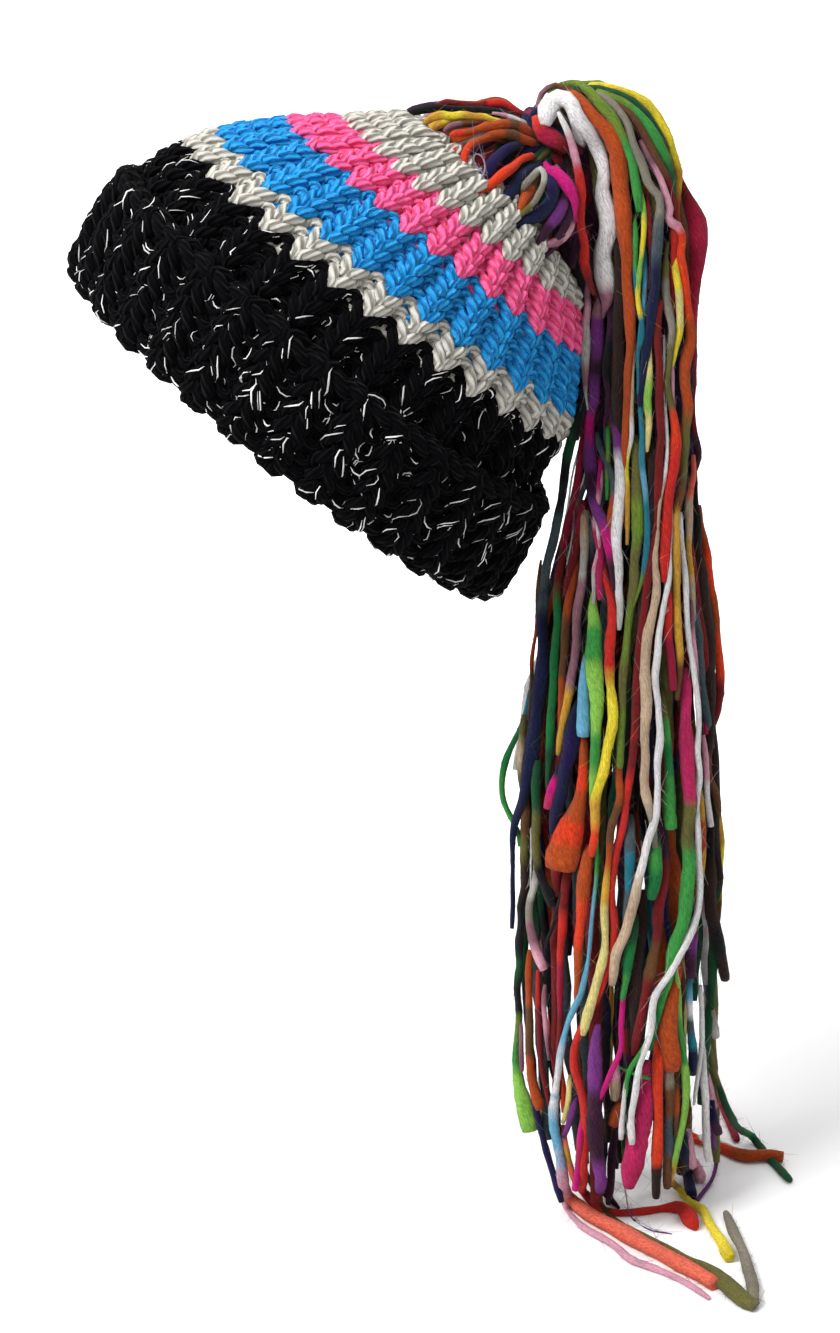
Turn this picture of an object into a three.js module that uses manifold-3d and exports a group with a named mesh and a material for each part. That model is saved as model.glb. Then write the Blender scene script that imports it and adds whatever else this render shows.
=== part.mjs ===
// Novelty wig beanie: a chunky rib-knit beanie with a folded-up cuff. Its open top edge is drawn up by
// wool strands looped through the last stitches, which are tied and fall behind as a long ponytail.
// Millimetres, +Z up, +X to the wearer's back, -Y to the wearer's left side.
// The origin is the middle of the head opening. The hat leans back as it is worn.
import * as THREE from 'three';
import Module from 'manifold-3d';

const wasm = await Module();
wasm.setup();

// Driving dimensions.
const LEAN = 38.45;           // degrees that the hat's own axis leans back from upright
const GAP = 0.3;              // clearance between two pieces that touch
const RIBS = 32;              // raised columns of the one-by-one rib round the hat
const RIB_TURN = -1.7;        // degrees that a column lies off the wearer's left side
const RIB_DEPTH = 3.2;        // how far a purl valley lies below the crest of a column
const WALL = 7;               // knit, from the crest of a column to the inner face
const BROAD_LOW = 0.82;       // width over length of the hat at the head opening
const BROAD_TOP = 0.9;        // the same at the open top edge of the knit
const INNER_SIDES = 30;       // facets of the knit's inner face
const FOLD_SIDES = 48;        // facets of the faces that are hidden in the cuff's fold
const CUFF_TOP = 38;          // height of the cuff's upper edge, along the hat's axis
const LIP_TOP = 4;            // the cuff's inner layer ends here, and the body goes on
const RIB_CORNERS = [         // across one rib and its valley: place, and 1 where it is low
  { place: -0.27, low: 0 },
  { place: 0.27, low: 0 },
  { place: 0.4, low: 1 },
  { place: 0.6, low: 1 },
];
const TIE_PLACE = 12;         // the tie's middle, behind the hat's axis
const NECK = 12;              // radius of the strands where they are tied
const NECK_TOP = 150;         // height where the crown's strands end and the ponytail starts
const TIE_LOW = 148.6;        // the tie's two turns start here
const TIE_THICK = 2.6;        // the tying strand's thickness
const TIE_TURNS = 2;
const TIE_SIDES = 16;
const TIE_BULGE = [-70, -25, 25, 70]; // degrees round the section of one turn
const STRANDS = 18;           // thick strands drawn from the top edge to the tie
const STRAND_DEPTH = 3.2;     // valley between two of them
const STRAND_WALL = 6.5;      // thickness of the drawn-up strands
const STRAND_INSET = 3;       // they leave the top edge this far inside its outer face
const HOLLOW_ROWS = 3;        // the crown is hollow under this many rows of its table
const HOLLOW_DROP = 2.2;      // and the hollow's face lies this much lower than the row
const TABLE = -331;           // height of the surface that the longest ends touch
const LOCK_SIDES = 5;

// Colours and roughness of what isn't a stripe.
const CUFF_YARN = { color: 0x0e0e14, roughness: 0.95 };
const CROWN_WOOL = { color: 0x9a4a35, roughness: 0.95 };
const TIE_WOOL = { color: 0xa81c45, roughness: 0.9 };
const TAIL_WOOL = { color: 0xb4532f, roughness: 0.95 };

// The knit's outline at the crest of the ribs: height along the hat's axis, reach to front and back, and
// how much lower the row lies at the back, where the ponytail pulls the top edge down.
const PROFILE = [
  { height: 4, front: 97.5, back: 99.5, sag: 0 },
  { height: 20, front: 100.3, back: 96.3, sag: 0 },
  { height: 38, front: 102.6, back: 92.6, sag: 0 },
  { height: 51, front: 102, back: 90.5, sag: 0 },
  { height: 63, front: 97, back: 88.8, sag: 0 },
  { height: 73.5, front: 89.3, back: 85.6, sag: 0 },
  { height: 83.5, front: 81, back: 79.8, sag: 0 },
  { height: 93.5, front: 71, back: 73, sag: 0 },
  { height: 107.5, front: 54.8, back: 61.6, sag: 0 },
  { height: 116, front: 45.5, back: 57.8, sag: 5 },
  { height: 124.5, front: 35, back: 53.5, sag: 10.5 },
];
const BROAD_FROM = 63;        // the hat gets rounder from this height up

// The yarn changes at these heights, from the cuff's inner lip to the top edge.
const STRIPES = [
  { node: 'black_band', from: 4, to: 63, cuts: [38, 51], color: 0x101016, roughness: 0.95 },
  { node: 'cream_row', from: 63, to: 73.5, cuts: [], color: 0xcfccc2, roughness: 0.9 },
  { node: 'blue_stripe', from: 73.5, to: 93.5, cuts: [83.5], color: 0x1c93d8, roughness: 0.88 },
  { node: 'pink_stripe', from: 93.5, to: 107.5, cuts: [], color: 0xf2609a, roughness: 0.88 },
  { node: 'grey_crown', from: 107.5, to: 124.5, cuts: [116], color: 0xc6c4ba, roughness: 0.9 },
];

// The cuff's outer face, from its upper edge to the fold, and how far its ribs stand out there.
const CUFF = [
  { height: 38, front: 109.3, back: 101, sag: 0, rib: 1 },
  { height: 27, front: 109.8, back: 104, sag: 0, rib: 1 },
  { height: 8, front: 106.8, back: 107.6, sag: 0, rib: 1 },
  { height: 0, front: 105, back: 107.8, sag: 0, rib: 0.8 },
];

// The fold at the opening, from the outer layer round to the inner face: how far it lies below the
// opening's plane, and how far inside the crest of the ribs.
const FOLD_OUTER = [
  { drop: 3.5, inset: 3.4 },
  { drop: 5, inset: 7.5 },
];
const FOLD_INNER = { drop: 3, inset: 5 };

// The strands drawn up from the knit's top edge to the tie, above the ring where they leave it.
const CROWN = [
  { height: 131, front: 30, back: 44, sag: 6, broad: 0.93, ridge: 1 },
  { height: 138, front: 25, back: 37.5, sag: 3, broad: 0.95, ridge: 1 },
  { height: 144, front: 18.5, back: 31, sag: 1, broad: 0.98, ridge: 0.9 },
  { height: 147.5, front: 10.5, back: 26.5, sag: 0, broad: 1, ridge: 0.6 },
  { height: 148.4, front: 0, back: 24, sag: 0, broad: 1, ridge: 0.3 },
  { height: 150, front: 0, back: 24, sag: 0, broad: 1, ridge: 0.3 },
];

// The tied bundle from the tie over the top and down: where its inner side, towards the hat, and its
// outer side lie in the middle plane, and half its thickness from side to side.
const BUNDLE = [
  { innerX: 114.1, innerZ: 105.6, outerX: 96.8, outerZ: 119.7, deep: 11.8 },
  { innerX: 114.9, innerZ: 106.2, outerX: 101.5, outerZ: 126, deep: 13 },
  { innerX: 115.7, innerZ: 106, outerX: 111, outerZ: 128.6, deep: 14 },
  { innerX: 116.4, innerZ: 104.6, outerX: 122, outerZ: 128.4, deep: 15 },
  { innerX: 116.6, innerZ: 101.6, outerX: 132, outerZ: 124.6, deep: 16 },
  { innerX: 116.6, innerZ: 99, outerX: 140.5, outerZ: 118, deep: 16.5 },
  { innerX: 116.6, innerZ: 94.5, outerX: 147, outerZ: 108, deep: 17.5 },
  { innerX: 116.6, innerZ: 87, outerX: 151.5, outerZ: 94.5, deep: 18.5 },
  { innerX: 116.6, innerZ: 75, outerX: 156.5, outerZ: 79, deep: 20 },
  { innerX: 116.8, innerZ: 58, outerX: 160.5, outerZ: 60, deep: 21 },
  { innerX: 116.8, innerZ: 22, outerX: 161.3, outerZ: 22, deep: 22 },
  { innerX: 117.2, innerZ: -14, outerX: 160, outerZ: -14, deep: 21.5 },
  { innerX: 123, innerZ: -60, outerX: 152, outerZ: -60, deep: 15 },
];
const BUNDLE_RIDGES = 12;
const BUNDLE_RIDGE_DEPTH = 2.2;
const NECK_RIDGE = 0.2;       // share of that depth at the tie, where the strands are pressed together
const RIDGE_GAIN = 0.15;      // and what each ring after it adds
const BUNDLE_TWIST = 40;      // degrees that the strands wind round each other over the bundle's length

// The hanging locks spread as they fall: height, the hatward and the far limit, and half the depth.
const FALL = [
  { z: 22, near: 118, far: 160, deep: 21 },
  { z: -12, near: 117, far: 160, deep: 22.5 },
  { z: -34, near: 112, far: 162, deep: 24 },
  { z: -72, near: 101, far: 167, deep: 28 },
  { z: -110, near: 93, far: 171, deep: 31 },
  { z: -151, near: 87.5, far: 174, deep: 33 },
  { z: -212, near: 89.5, far: 178, deep: 34 },
  { z: -288, near: 93, far: 178, deep: 35 },
  { z: -331, near: 96, far: 180, deep: 36 },
];
const LOCK_TOP = 22;          // the locks come out of the bundle from here
const LOCK_STEP = 48;         // height between two rings of a lock
const LOCK_TUCK = 0.12;       // inside the bundle the locks lie closer to its middle by this share
const TUCK_FROM = -40;        // height where they start to draw together
const TUCK_TO = 10;
const SWAY = 3;               // how far a lock swings off its place as it falls
const SWAY_SLANT = 0.6;       // share of the swing that goes outwards as well as sideways
const SWAY_FREE = 3;          // rings until it swings freely
const SWAY_TURN = 1.7;        // radians of the swing from one ring to the next
const SWAY_SHIFT = 2.4;       // and from one lock to the next
const SWELL = 0.18;           // share by which a lock gets thicker and thinner
const SWELL_TURN = 2.1;       // radians of that from one ring to the next
const LOCK_TIP = 0.6;         // thickness of the last ring, as a share
const LYING_THICK = 0.8;      // thickness of what lies on the table, as a share
const LYING_RISE = 0.42;      // height of its middle over the table, as a share of its thickness

// One row for each lock: its place in the fall, -1 to 1 from the hat outwards and from the wearer's left
// to the right, its thickness, the height where it ends, and the places on the table where it lies on.
const LOCKS = [
  { out: -0.94, right: -0.28, thick: 7, end: -212, lies: [] },
  { out: -0.98, right: 0.2, thick: 7, end: -165, lies: [] },
  { out: -0.84, right: -0.02, thick: 9, end: -304, lies: [] },
  { out: -0.68, right: -0.62, thick: 9, end: -250, lies: [] },
  { out: -0.62, right: 0.72, thick: 9, end: -292, lies: [] },
  { out: -0.52, right: -0.22, thick: 10, end: -328, lies: [[134, -32], [153, -60], [169, -78], [180, -90]] },
  { out: -0.34, right: -0.82, thick: 10, end: -326, lies: [] },
  { out: -0.3, right: 0.36, thick: 10, end: -318, lies: [] },
  { out: -0.12, right: -0.48, thick: 11, end: -298, lies: [] },
  { out: -0.05, right: 0.9, thick: 9, end: -322, lies: [] },
  { out: 0.04, right: 0.1, thick: 12, end: -326, lies: [] },
  { out: 0.12, right: -0.9, thick: 10, end: -327, lies: [] },
  { out: 0.3, right: -0.45, thick: 10, end: -322, lies: [] },
  { out: 0.34, right: 0.5, thick: 10, end: -303, lies: [] },
  { out: 0.5, right: -0.8, thick: 8, end: -328, lies: [[170, -45], [178, -64]] },
  { out: 0.56, right: 0.04, thick: 10, end: -325, lies: [] },
  { out: 0.62, right: 0.74, thick: 8, end: -322, lies: [[190, 38], [213, 41]] },
  { out: 0.78, right: -0.5, thick: 8, end: -328, lies: [[184, -48], [186, -80], [181, -101]] },
  { out: 0.84, right: 0.3, thick: 8, end: -322, lies: [[196, 20], [211, 10]] },
  { out: 0.96, right: -0.06, thick: 9, end: -234, lies: [] },
  { out: 0.9, right: 0.44, thick: 8, end: -176, lies: [] },
  { out: 0.88, right: -0.42, thick: 7, end: -296, lies: [] },
];

const radians = THREE.MathUtils.degToRad;
const FULL_TURN = 2 * Math.PI;

// The row of a table at any value of one column, with the other columns interpolated.
function rowAt(table, column, value) {
  const rising = table[table.length - 1][column] > table[0][column];
  const passed = table.filter((row) => (rising ? row[column] <= value : row[column] >= value));
  const low = table[Math.min(Math.max(passed.length - 1, 0), table.length - 2)];
  const high = table[table.indexOf(low) + 1];
  const share = (value - low[column]) / (high[column] - low[column]);
  const row = {};
  for (const name of Object.keys(low)) {
    row[name] = THREE.MathUtils.lerp(low[name], high[name], share);
  }
  return row;
}

// Directions round a ring: each raised column has two corners on its crest and two in the valley.
function ribbedTurns(count, firstTurn) {
  const turns = [];
  for (let rib = 0; rib < count; rib += 1) {
    for (const { place, low } of RIB_CORNERS) {
      turns.push({ turn: firstTurn + ((rib + place) * FULL_TURN) / count, low });
    }
  }
  return turns;
}

function plainTurns(count, firstTurn) {
  return Array.from({ length: count }, (_, k) => ({ turn: firstTurn + (k * FULL_TURN) / count, low: 0 }));
}

// A ring round the hat's axis: an ellipse from front to back, its points drawn in along its normal by
// `inset`, and by `relief` more in a valley. The turns are spaced evenly along the ellipse.
function hatRing(row, broad, turns, inset, relief) {
  const half = (row.front + row.back) / 2;
  const middle = (row.back - row.front) / 2;
  const evening = (1 - broad) / (2 * (1 + broad));
  return turns.map(({ turn, low }) => {
    const around = turn + evening * Math.sin(2 * turn);
    const normal = new THREE.Vector2(broad * Math.cos(around), Math.sin(around)).normalize();
    const drawn = inset + relief * low;
    const x = middle + half * Math.cos(around) - drawn * normal.x;
    const y = half * broad * Math.sin(around) - drawn * normal.y;
    const behind = Math.max(0, x / row.back);
    return { turn, point: new THREE.Vector3(x, y, row.height - row.sag * behind * behind) };
  });
}

// Triangles between two rings that may have different numbers of points, paired by their turn.
function zip(first, second, faces) {
  const turnAfter = (ring, k) => (k + 1 < ring.length ? ring[k + 1].turn : ring[0].turn + FULL_TURN);
  let i = 0;
  let j = 0;
  while (i < first.length || j < second.length) {
    const a = first[i % first.length].index;
    const b = second[j % second.length].index;
    const firstNext = i < first.length ? turnAfter(first, i) : Infinity;
    const secondNext = j < second.length ? turnAfter(second, j) : Infinity;
    if (firstNext <= secondNext) {
      i += 1;
      faces.push([a, first[i % first.length].index, b]);
    } else {
      j += 1;
      faces.push([a, second[j % second.length].index, b]);
    }
  }
}

// A closed body from rings in order. It closes on itself, or has a flat cap on its first and last ring.
function ringBody(rings, capped) {
  const points = [];
  const faces = [];
  for (const ring of rings) {
    for (const corner of ring) {
      corner.index = points.length;
      points.push(corner.point);
    }
  }
  for (let k = 0; k + 1 < rings.length; k += 1) {
    zip(rings[k], rings[k + 1], faces);
  }
  if (capped) {
    for (const [ring, turned] of [[rings[0], true], [rings[rings.length - 1], false]]) {
      const centre = ring.reduce((sum, corner) => sum.add(corner.point), new THREE.Vector3());
      const middle = points.push(centre.divideScalar(ring.length)) - 1;
      ring.forEach((corner, k) => {
        const next = ring[(k + 1) % ring.length];
        faces.push(turned ? [middle, next.index, corner.index] : [middle, corner.index, next.index]);
      });
    }
  } else {
    zip(rings[rings.length - 1], rings[0], faces);
  }
  return outward(points, faces);
}

// The same body with its faces turned outwards: a body that is inside out has a negative volume.
function outward(points, faces) {
  let volume = 0;
  for (const [a, b, c] of faces) {
    volume += points[a].dot(new THREE.Vector3().crossVectors(points[b], points[c])) / 6;
  }
  const turned = volume < 0 ? faces.map(([a, b, c]) => [a, c, b]) : faces;
  const geometry = new THREE.BufferGeometry();
  const numbers = points.flatMap((p) => [p.x, p.y, p.z]);
  geometry.setAttribute('position', new THREE.Float32BufferAttribute(numbers, 3));
  geometry.setIndex(turned.flat());
  return geometry;
}

// A closed tube along a curve, with its own radius at each ring and flat ends.
function tube(curve, radii, sides) {
  const rings = [];
  const count = radii.length;
  let across = new THREE.Vector3(0, 1, 0);
  for (let k = 0; k < count; k += 1) {
    const place = curve.getPointAt(k / (count - 1));
    const ahead = curve.getTangentAt(k / (count - 1));
    across = across.clone().addScaledVector(ahead, -across.dot(ahead)).normalize();
    const upright = new THREE.Vector3().crossVectors(ahead, across);
    rings.push(plainTurns(sides, 0).map(({ turn }) => ({
      turn,
      point: place.clone()
        .addScaledVector(across, radii[k] * Math.cos(turn))
        .addScaledVector(upright, radii[k] * Math.sin(turn)),
    })));
  }
  return ringBody(rings, true);
}

function solidOf(geometry) {
  return new wasm.Manifold(new wasm.Mesh({
    numProp: 3,
    vertProperties: new Float32Array(geometry.getAttribute('position').array),
    triVerts: new Uint32Array(geometry.getIndex().array),
  }));
}

function geometryOf(solid) {
  const mesh = solid.getMesh();
  const geometry = new THREE.BufferGeometry();
  geometry.setAttribute('position', new THREE.Float32BufferAttribute(mesh.vertProperties, 3));
  geometry.setIndex(Array.from(mesh.triVerts));
  return geometry;
}

function piece(name, geometry, { color, roughness }) {
  geometry.computeVertexNormals();
  const mesh = new THREE.Mesh(geometry, new THREE.MeshStandardMaterial({ color, roughness, metalness: 0 }));
  mesh.name = name;
  return mesh;
}

// Width over length of the knit at a height, which gets rounder towards the top.
function broadAt(height) {
  const share = THREE.MathUtils.smoothstep(height, BROAD_FROM, PROFILE[PROFILE.length - 1].height);
  return THREE.MathUtils.lerp(BROAD_LOW, BROAD_TOP, share);
}

// The wall measured level, which is more than its thickness where the knit slopes inwards.
function levelWall(height) {
  const step = 4;
  const above = rowAt(PROFILE, 'height', height + step / 2);
  const below = rowAt(PROFILE, 'height', height - step / 2);
  const slope = (above.front + above.back - below.front - below.back) / (2 * step);
  return WALL * Math.hypot(1, slope);
}

// One colour of the knit: the ribbed outer face and the smooth inner face between two heights.
// Under the cuff the ribs are pressed flat.
function stripe({ node, from, to, cuts, ...yarn }) {
  const top = PROFILE[PROFILE.length - 1].height;
  const low = from === LIP_TOP ? from : from + GAP / 2;
  const high = to === top ? to : to - GAP / 2;
  const heights = [low, ...cuts, high];
  const firstTurn = radians(RIB_TURN);
  const outer = heights.map((height) => {
    const relief = height < CUFF_TOP ? 0 : RIB_DEPTH;
    const row = rowAt(PROFILE, 'height', height);
    return hatRing(row, broadAt(height), ribbedTurns(RIBS, firstTurn), 0, relief);
  });
  const inner = heights.map((height) => {
    const row = rowAt(PROFILE, 'height', height);
    const turns = plainTurns(INNER_SIDES, firstTurn);
    return hatRing(row, broadAt(height), turns, levelWall(height), 0);
  });
  return piece(node, ringBody([...outer, ...inner.reverse()], false), yarn);
}

// The cuff: an outer layer that comes round a fold at the opening and meets the body's lower edge.
function cuff() {
  const firstTurn = radians(RIB_TURN);
  const ribs = ribbedTurns(RIBS, firstTurn);
  const plain = plainTurns(FOLD_SIDES, firstTurn);
  const body = rowAt(PROFILE, 'height', LIP_TOP);
  const bodyTop = rowAt(PROFILE, 'height', CUFF_TOP);
  const bodyMiddle = rowAt(PROFILE, 'height', CUFF_TOP / 2);
  const lip = LIP_TOP - GAP;
  const clear = -2 * GAP;
  const outerFace = CUFF.map((row) => hatRing(row, BROAD_LOW, ribs, 0, RIB_DEPTH * row.rib));
  const foldFace = FOLD_OUTER.map(({ drop, inset }) => {
    return hatRing({ ...CUFF[CUFF.length - 1], height: -drop }, BROAD_LOW, plain, inset, 0);
  });
  const rings = [
    hatRing({ ...bodyTop, height: CUFF_TOP }, BROAD_LOW, plain, clear, 0),
    ...outerFace,
    ...foldFace,
    hatRing({ ...body, height: -FOLD_INNER.drop }, BROAD_LOW, plain, FOLD_INNER.inset, 0),
    hatRing({ ...body, height: 0 }, BROAD_LOW, plain, WALL, 0),
    hatRing({ ...body, height: lip }, BROAD_LOW, plain, WALL, 0),
    hatRing({ ...body, height: lip }, BROAD_LOW, plain, clear, 0),
    hatRing({ ...bodyMiddle, height: CUFF_TOP / 2 }, BROAD_LOW, plain, clear, 0),
  ];
  return piece('cuff', ringBody(rings, false), CUFF_YARN);
}

// The strands drawn up from the top edge: a ridged dome, hollow below, that ends in the tied neck.
function crownLoops() {
  const ridged = ribbedTurns(STRANDS, 0);
  const plain = plainTurns(STRANDS, 0);
  const edge = PROFILE[PROFILE.length - 1];
  const foot = { ...edge, height: edge.height + GAP };
  const outer = [
    hatRing(foot, BROAD_TOP, ridged, STRAND_INSET, STRAND_DEPTH),
    ...CROWN.map((row) => hatRing(row, row.broad, ridged, 0, STRAND_DEPTH * row.ridge)),
  ];
  const inner = [
    hatRing(foot, BROAD_TOP, plain, STRAND_INSET + STRAND_WALL, 0),
    ...CROWN.slice(0, HOLLOW_ROWS).map((row) => {
      const under = { ...row, height: row.height - HOLLOW_DROP };
      return hatRing(under, row.broad, plain, STRAND_WALL, 0);
    }),
  ];
  return piece('crown_loops', ringBody([...outer.reverse(), ...inner], true), CROWN_WOOL);
}

// The tie: one strand wound twice round the neck, as a ring with a rounded bulge for each turn.
function tieWrap() {
  const inside = NECK + GAP;
  const outline = [];
  for (let turn = 0; turn < TIE_TURNS; turn += 1) {
    for (const angle of TIE_BULGE) {
      const bulge = (TIE_THICK / 2) * (1 + Math.cos(radians(angle)));
      const height = TIE_THICK * (turn + 0.5 + 0.5 * Math.sin(radians(angle)));
      outline.push(new THREE.Vector2(inside + bulge, height));
    }
  }
  outline.push(new THREE.Vector2(inside, TIE_THICK * TIE_TURNS), new THREE.Vector2(inside, 0));
  outline.push(outline[0].clone());
  const ring = new THREE.LatheGeometry(outline, TIE_SIDES);
  ring.rotateX(Math.PI / 2);
  ring.deleteAttribute('uv');
  ring.deleteAttribute('normal');
  const mesh = piece('tie_wrap', ring, TIE_WOOL);
  mesh.position.set(TIE_PLACE, 0, TIE_LOW);
  return mesh;
}

// The bundle's thick upper part: ridged rings in planes that turn from the tie over the top and down.
function bundle() {
  const start = new THREE.Vector3(TIE_PLACE, 0, NECK_TOP + GAP);
  start.applyAxisAngle(new THREE.Vector3(0, 1, 0), radians(LEAN));
  const alongX = NECK * Math.cos(radians(LEAN));
  const alongZ = NECK * Math.sin(radians(LEAN));
  const neck = {
    innerX: start.x + alongX, innerZ: start.z - alongZ, outerX: start.x - alongX, outerZ: start.z + alongZ,
    deep: NECK,
  };
  const stations = [neck, ...BUNDLE];
  const rings = stations.map((row, k) => {
    const wound = (radians(BUNDLE_TWIST) * k) / (stations.length - 1);
    const ridge = BUNDLE_RIDGE_DEPTH * Math.min(1, NECK_RIDGE + RIDGE_GAIN * k);
    const across = new THREE.Vector3(row.outerX - row.innerX, 0, row.outerZ - row.innerZ).multiplyScalar(0.5);
    const middle = new THREE.Vector3(row.innerX + across.x, 0, row.innerZ + across.z);
    const half = across.length();
    return ribbedTurns(BUNDLE_RIDGES, 0).map(({ turn, low }) => {
      const drawn = 1 - (ridge * low) / half;
      const angle = turn + wound;
      const point = middle.clone().addScaledVector(across, drawn * Math.cos(angle));
      point.y += row.deep * drawn * Math.sin(angle);
      return { turn, point };
    });
  });
  return ringBody(rings, true);
}

// A lock falls from inside the bundle, spreads with the others and ends, or lies on along the table.
function lock({ out, right, thick, end, lies }, number) {
  const drops = Math.max(3, Math.round((LOCK_TOP - end) / LOCK_STEP));
  const points = [];
  for (let k = 0; k <= drops; k += 1) {
    const z = THREE.MathUtils.lerp(LOCK_TOP, end, k / drops);
    const row = rowAt(FALL, 'z', z);
    const spread = 1 - LOCK_TUCK * THREE.MathUtils.smoothstep(z, TUCK_FROM, TUCK_TO);
    const sway = SWAY * Math.sin(SWAY_TURN * k + SWAY_SHIFT * number) * Math.min(1, k / SWAY_FREE);
    const reach = (row.far - row.near - thick) / 2;
    const x = (row.near + row.far) / 2 + reach * out * spread + sway * SWAY_SLANT;
    const y = (row.deep - thick / 2) * right * spread + sway;
    points.push(new THREE.Vector3(x, y, z));
  }
  for (const [x, y] of lies) {
    points.push(new THREE.Vector3(x, y, TABLE + thick * LYING_RISE));
  }
  const curve = new THREE.CatmullRomCurve3(points, false, 'centripetal');
  const rings = drops + 1 + 2 * lies.length;
  const radii = Array.from({ length: rings }, (_, k) => {
    const swell = 1 + SWELL * Math.sin(SWELL_TURN * k + number);
    const tip = k === rings - 1 ? LOCK_TIP : 1;
    return (thick / 2) * swell * tip * (k > drops ? LYING_THICK : 1);
  });
  return tube(curve, radii, LOCK_SIDES);
}

function ponytail() {
  let whole = solidOf(bundle());
  LOCKS.forEach((row, number) => {
    whole = whole.add(solidOf(lock(row, number)));
  });
  return piece('ponytail', geometryOf(whole), TAIL_WOOL);
}

const beanie = new THREE.Group();
const worn = new THREE.Group();
worn.rotation.y = radians(LEAN);
worn.add(cuff(), ...STRIPES.map(stripe), crownLoops(), tieWrap());
beanie.add(worn, ponytail());

export default beanie;
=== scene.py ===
import math

import bpy
import numpy as np
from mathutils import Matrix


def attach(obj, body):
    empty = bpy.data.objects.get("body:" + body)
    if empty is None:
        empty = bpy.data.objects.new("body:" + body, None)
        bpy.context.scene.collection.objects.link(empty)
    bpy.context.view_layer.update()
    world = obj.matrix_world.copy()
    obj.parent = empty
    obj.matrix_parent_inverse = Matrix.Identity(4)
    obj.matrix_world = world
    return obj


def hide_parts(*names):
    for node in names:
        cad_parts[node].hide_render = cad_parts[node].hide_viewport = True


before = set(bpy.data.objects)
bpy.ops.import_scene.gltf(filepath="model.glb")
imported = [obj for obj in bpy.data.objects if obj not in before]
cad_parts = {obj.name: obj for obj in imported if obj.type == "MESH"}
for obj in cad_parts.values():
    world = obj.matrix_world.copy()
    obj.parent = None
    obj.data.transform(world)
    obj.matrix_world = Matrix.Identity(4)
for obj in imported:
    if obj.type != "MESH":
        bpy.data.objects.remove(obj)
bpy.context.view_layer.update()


# Camera. It stands about a metre from the hat's left side, level with the crown, and looks down
# a little, so that the open lower edge is hidden and the tails lie on the table.
CAMERA_AT = np.array([0.051975, -1.0, 0.178])
LOOKS_DOWN = math.radians(15.4887)
LENS_MM = 70.0
PICTURE_WIDE = 840
PICTURE_HIGH = 1333
SENSOR_MM = 36.0

camera_data = bpy.data.cameras.new("camera")
camera_data.lens = LENS_MM
camera_data.sensor_width = SENSOR_MM
camera = bpy.data.objects.new("camera", camera_data)
camera.location = CAMERA_AT
camera.rotation_euler = (math.pi / 2 - LOOKS_DOWN, 0, 0)
bpy.context.scene.collection.objects.link(camera)
bpy.context.scene.camera = camera
bpy.context.scene.view_settings.view_transform = "Standard"


def seen_at(across, down, depth):
    """World points (metres) that the camera sees at these picture positions, in pixels of the
    840 x 1333 picture, on the upright planes y = depth: the ray through each one is cut there."""
    focal = LENS_MM / SENSOR_MM * PICTURE_HIGH
    right = (np.asarray(across, float) - PICTURE_WIDE / 2) / focal
    up = (PICTURE_HIGH / 2 - np.asarray(down, float)) / focal
    ray_y = math.cos(LOOKS_DOWN) + up * math.sin(LOOKS_DOWN)
    ray_z = up * math.cos(LOOKS_DOWN) - math.sin(LOOKS_DOWN)
    reach = (np.asarray(depth, float) - CAMERA_AT[1]) / ray_y
    return np.stack([CAMERA_AT[0] + reach * right,
                     CAMERA_AT[1] + reach * ray_y,
                     CAMERA_AT[2] + reach * ray_z], -1)


# Floor and light. A plain pale table that curves up into a backdrop. A large soft lamp stands
# above, in front and to the left, a weaker one hangs overhead, and a third lights the backdrop.
TABLE_Z = -0.3318
BACKDROP_Y = 1.6
BEND_RADIUS = 1.2
FLOOR_HALF = 4.0
ROOM_LIGHT = 0.43


def to_linear(code):
    """One sRGB hex colour as linear red, green and blue."""
    srgb = np.array([int(code[i:i + 2], 16) for i in (1, 3, 5)]) / 255
    return np.where(srgb <= 0.04045, srgb / 12.92, ((srgb + 0.055) / 1.055) ** 2.4)


def add_node(material, kind, inputs=(), **settings):
    """Adds one node. Inputs are (name or number, value or output socket) pairs."""
    node = material.node_tree.nodes.new(kind)
    for key, value in settings.items():
        setattr(node, key, value)
    for key, value in inputs:
        if isinstance(value, bpy.types.NodeSocket):
            material.node_tree.links.new(value, node.inputs[key])
        else:
            node.inputs[key].default_value = value
    return node


def new_material(name):
    """An empty node material, and its output node."""
    material = bpy.data.materials.new(name)
    material.use_nodes = True
    material.node_tree.nodes.clear()
    return material, add_node(material, "ShaderNodeOutputMaterial")


def finish_material(material, output, shader):
    """Joins the shader to the material's output."""
    material.node_tree.links.new(shader.outputs[0], output.inputs["Surface"])
    return material


def smooth_object(name, vertices, faces, material):
    """A smooth-shaded object at the origin from arrays of vertices (metres) and quads."""
    mesh = bpy.data.meshes.new(name)
    mesh.from_pydata(vertices, [], faces)
    mesh.polygons.foreach_set("use_smooth", np.ones(len(mesh.polygons), bool))
    mesh.materials.append(material)
    thing = bpy.data.objects.new(name, mesh)
    bpy.context.scene.collection.objects.link(thing)
    return thing


def floor_sheet():
    """Table and backdrop: a line that runs back, bends up on a quarter circle and rises."""
    bend = np.radians(np.linspace(0, 90, 25))
    back = np.r_[-FLOOR_HALF, BACKDROP_Y + BEND_RADIUS * np.sin(bend), BACKDROP_Y + BEND_RADIUS]
    rise = np.r_[0, BEND_RADIUS * (1 - np.cos(bend)), FLOOR_HALF] + TABLE_Z
    side = np.array([-FLOOR_HALF, FLOOR_HALF])
    grid = np.stack([np.repeat(side, len(back)), np.tile(back, 2), np.tile(rise, 2)], -1)
    n = len(back)
    step = np.arange(n - 1)
    return grid, np.stack([step + 1, step, step + n, step + n + 1], -1).tolist()


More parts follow.
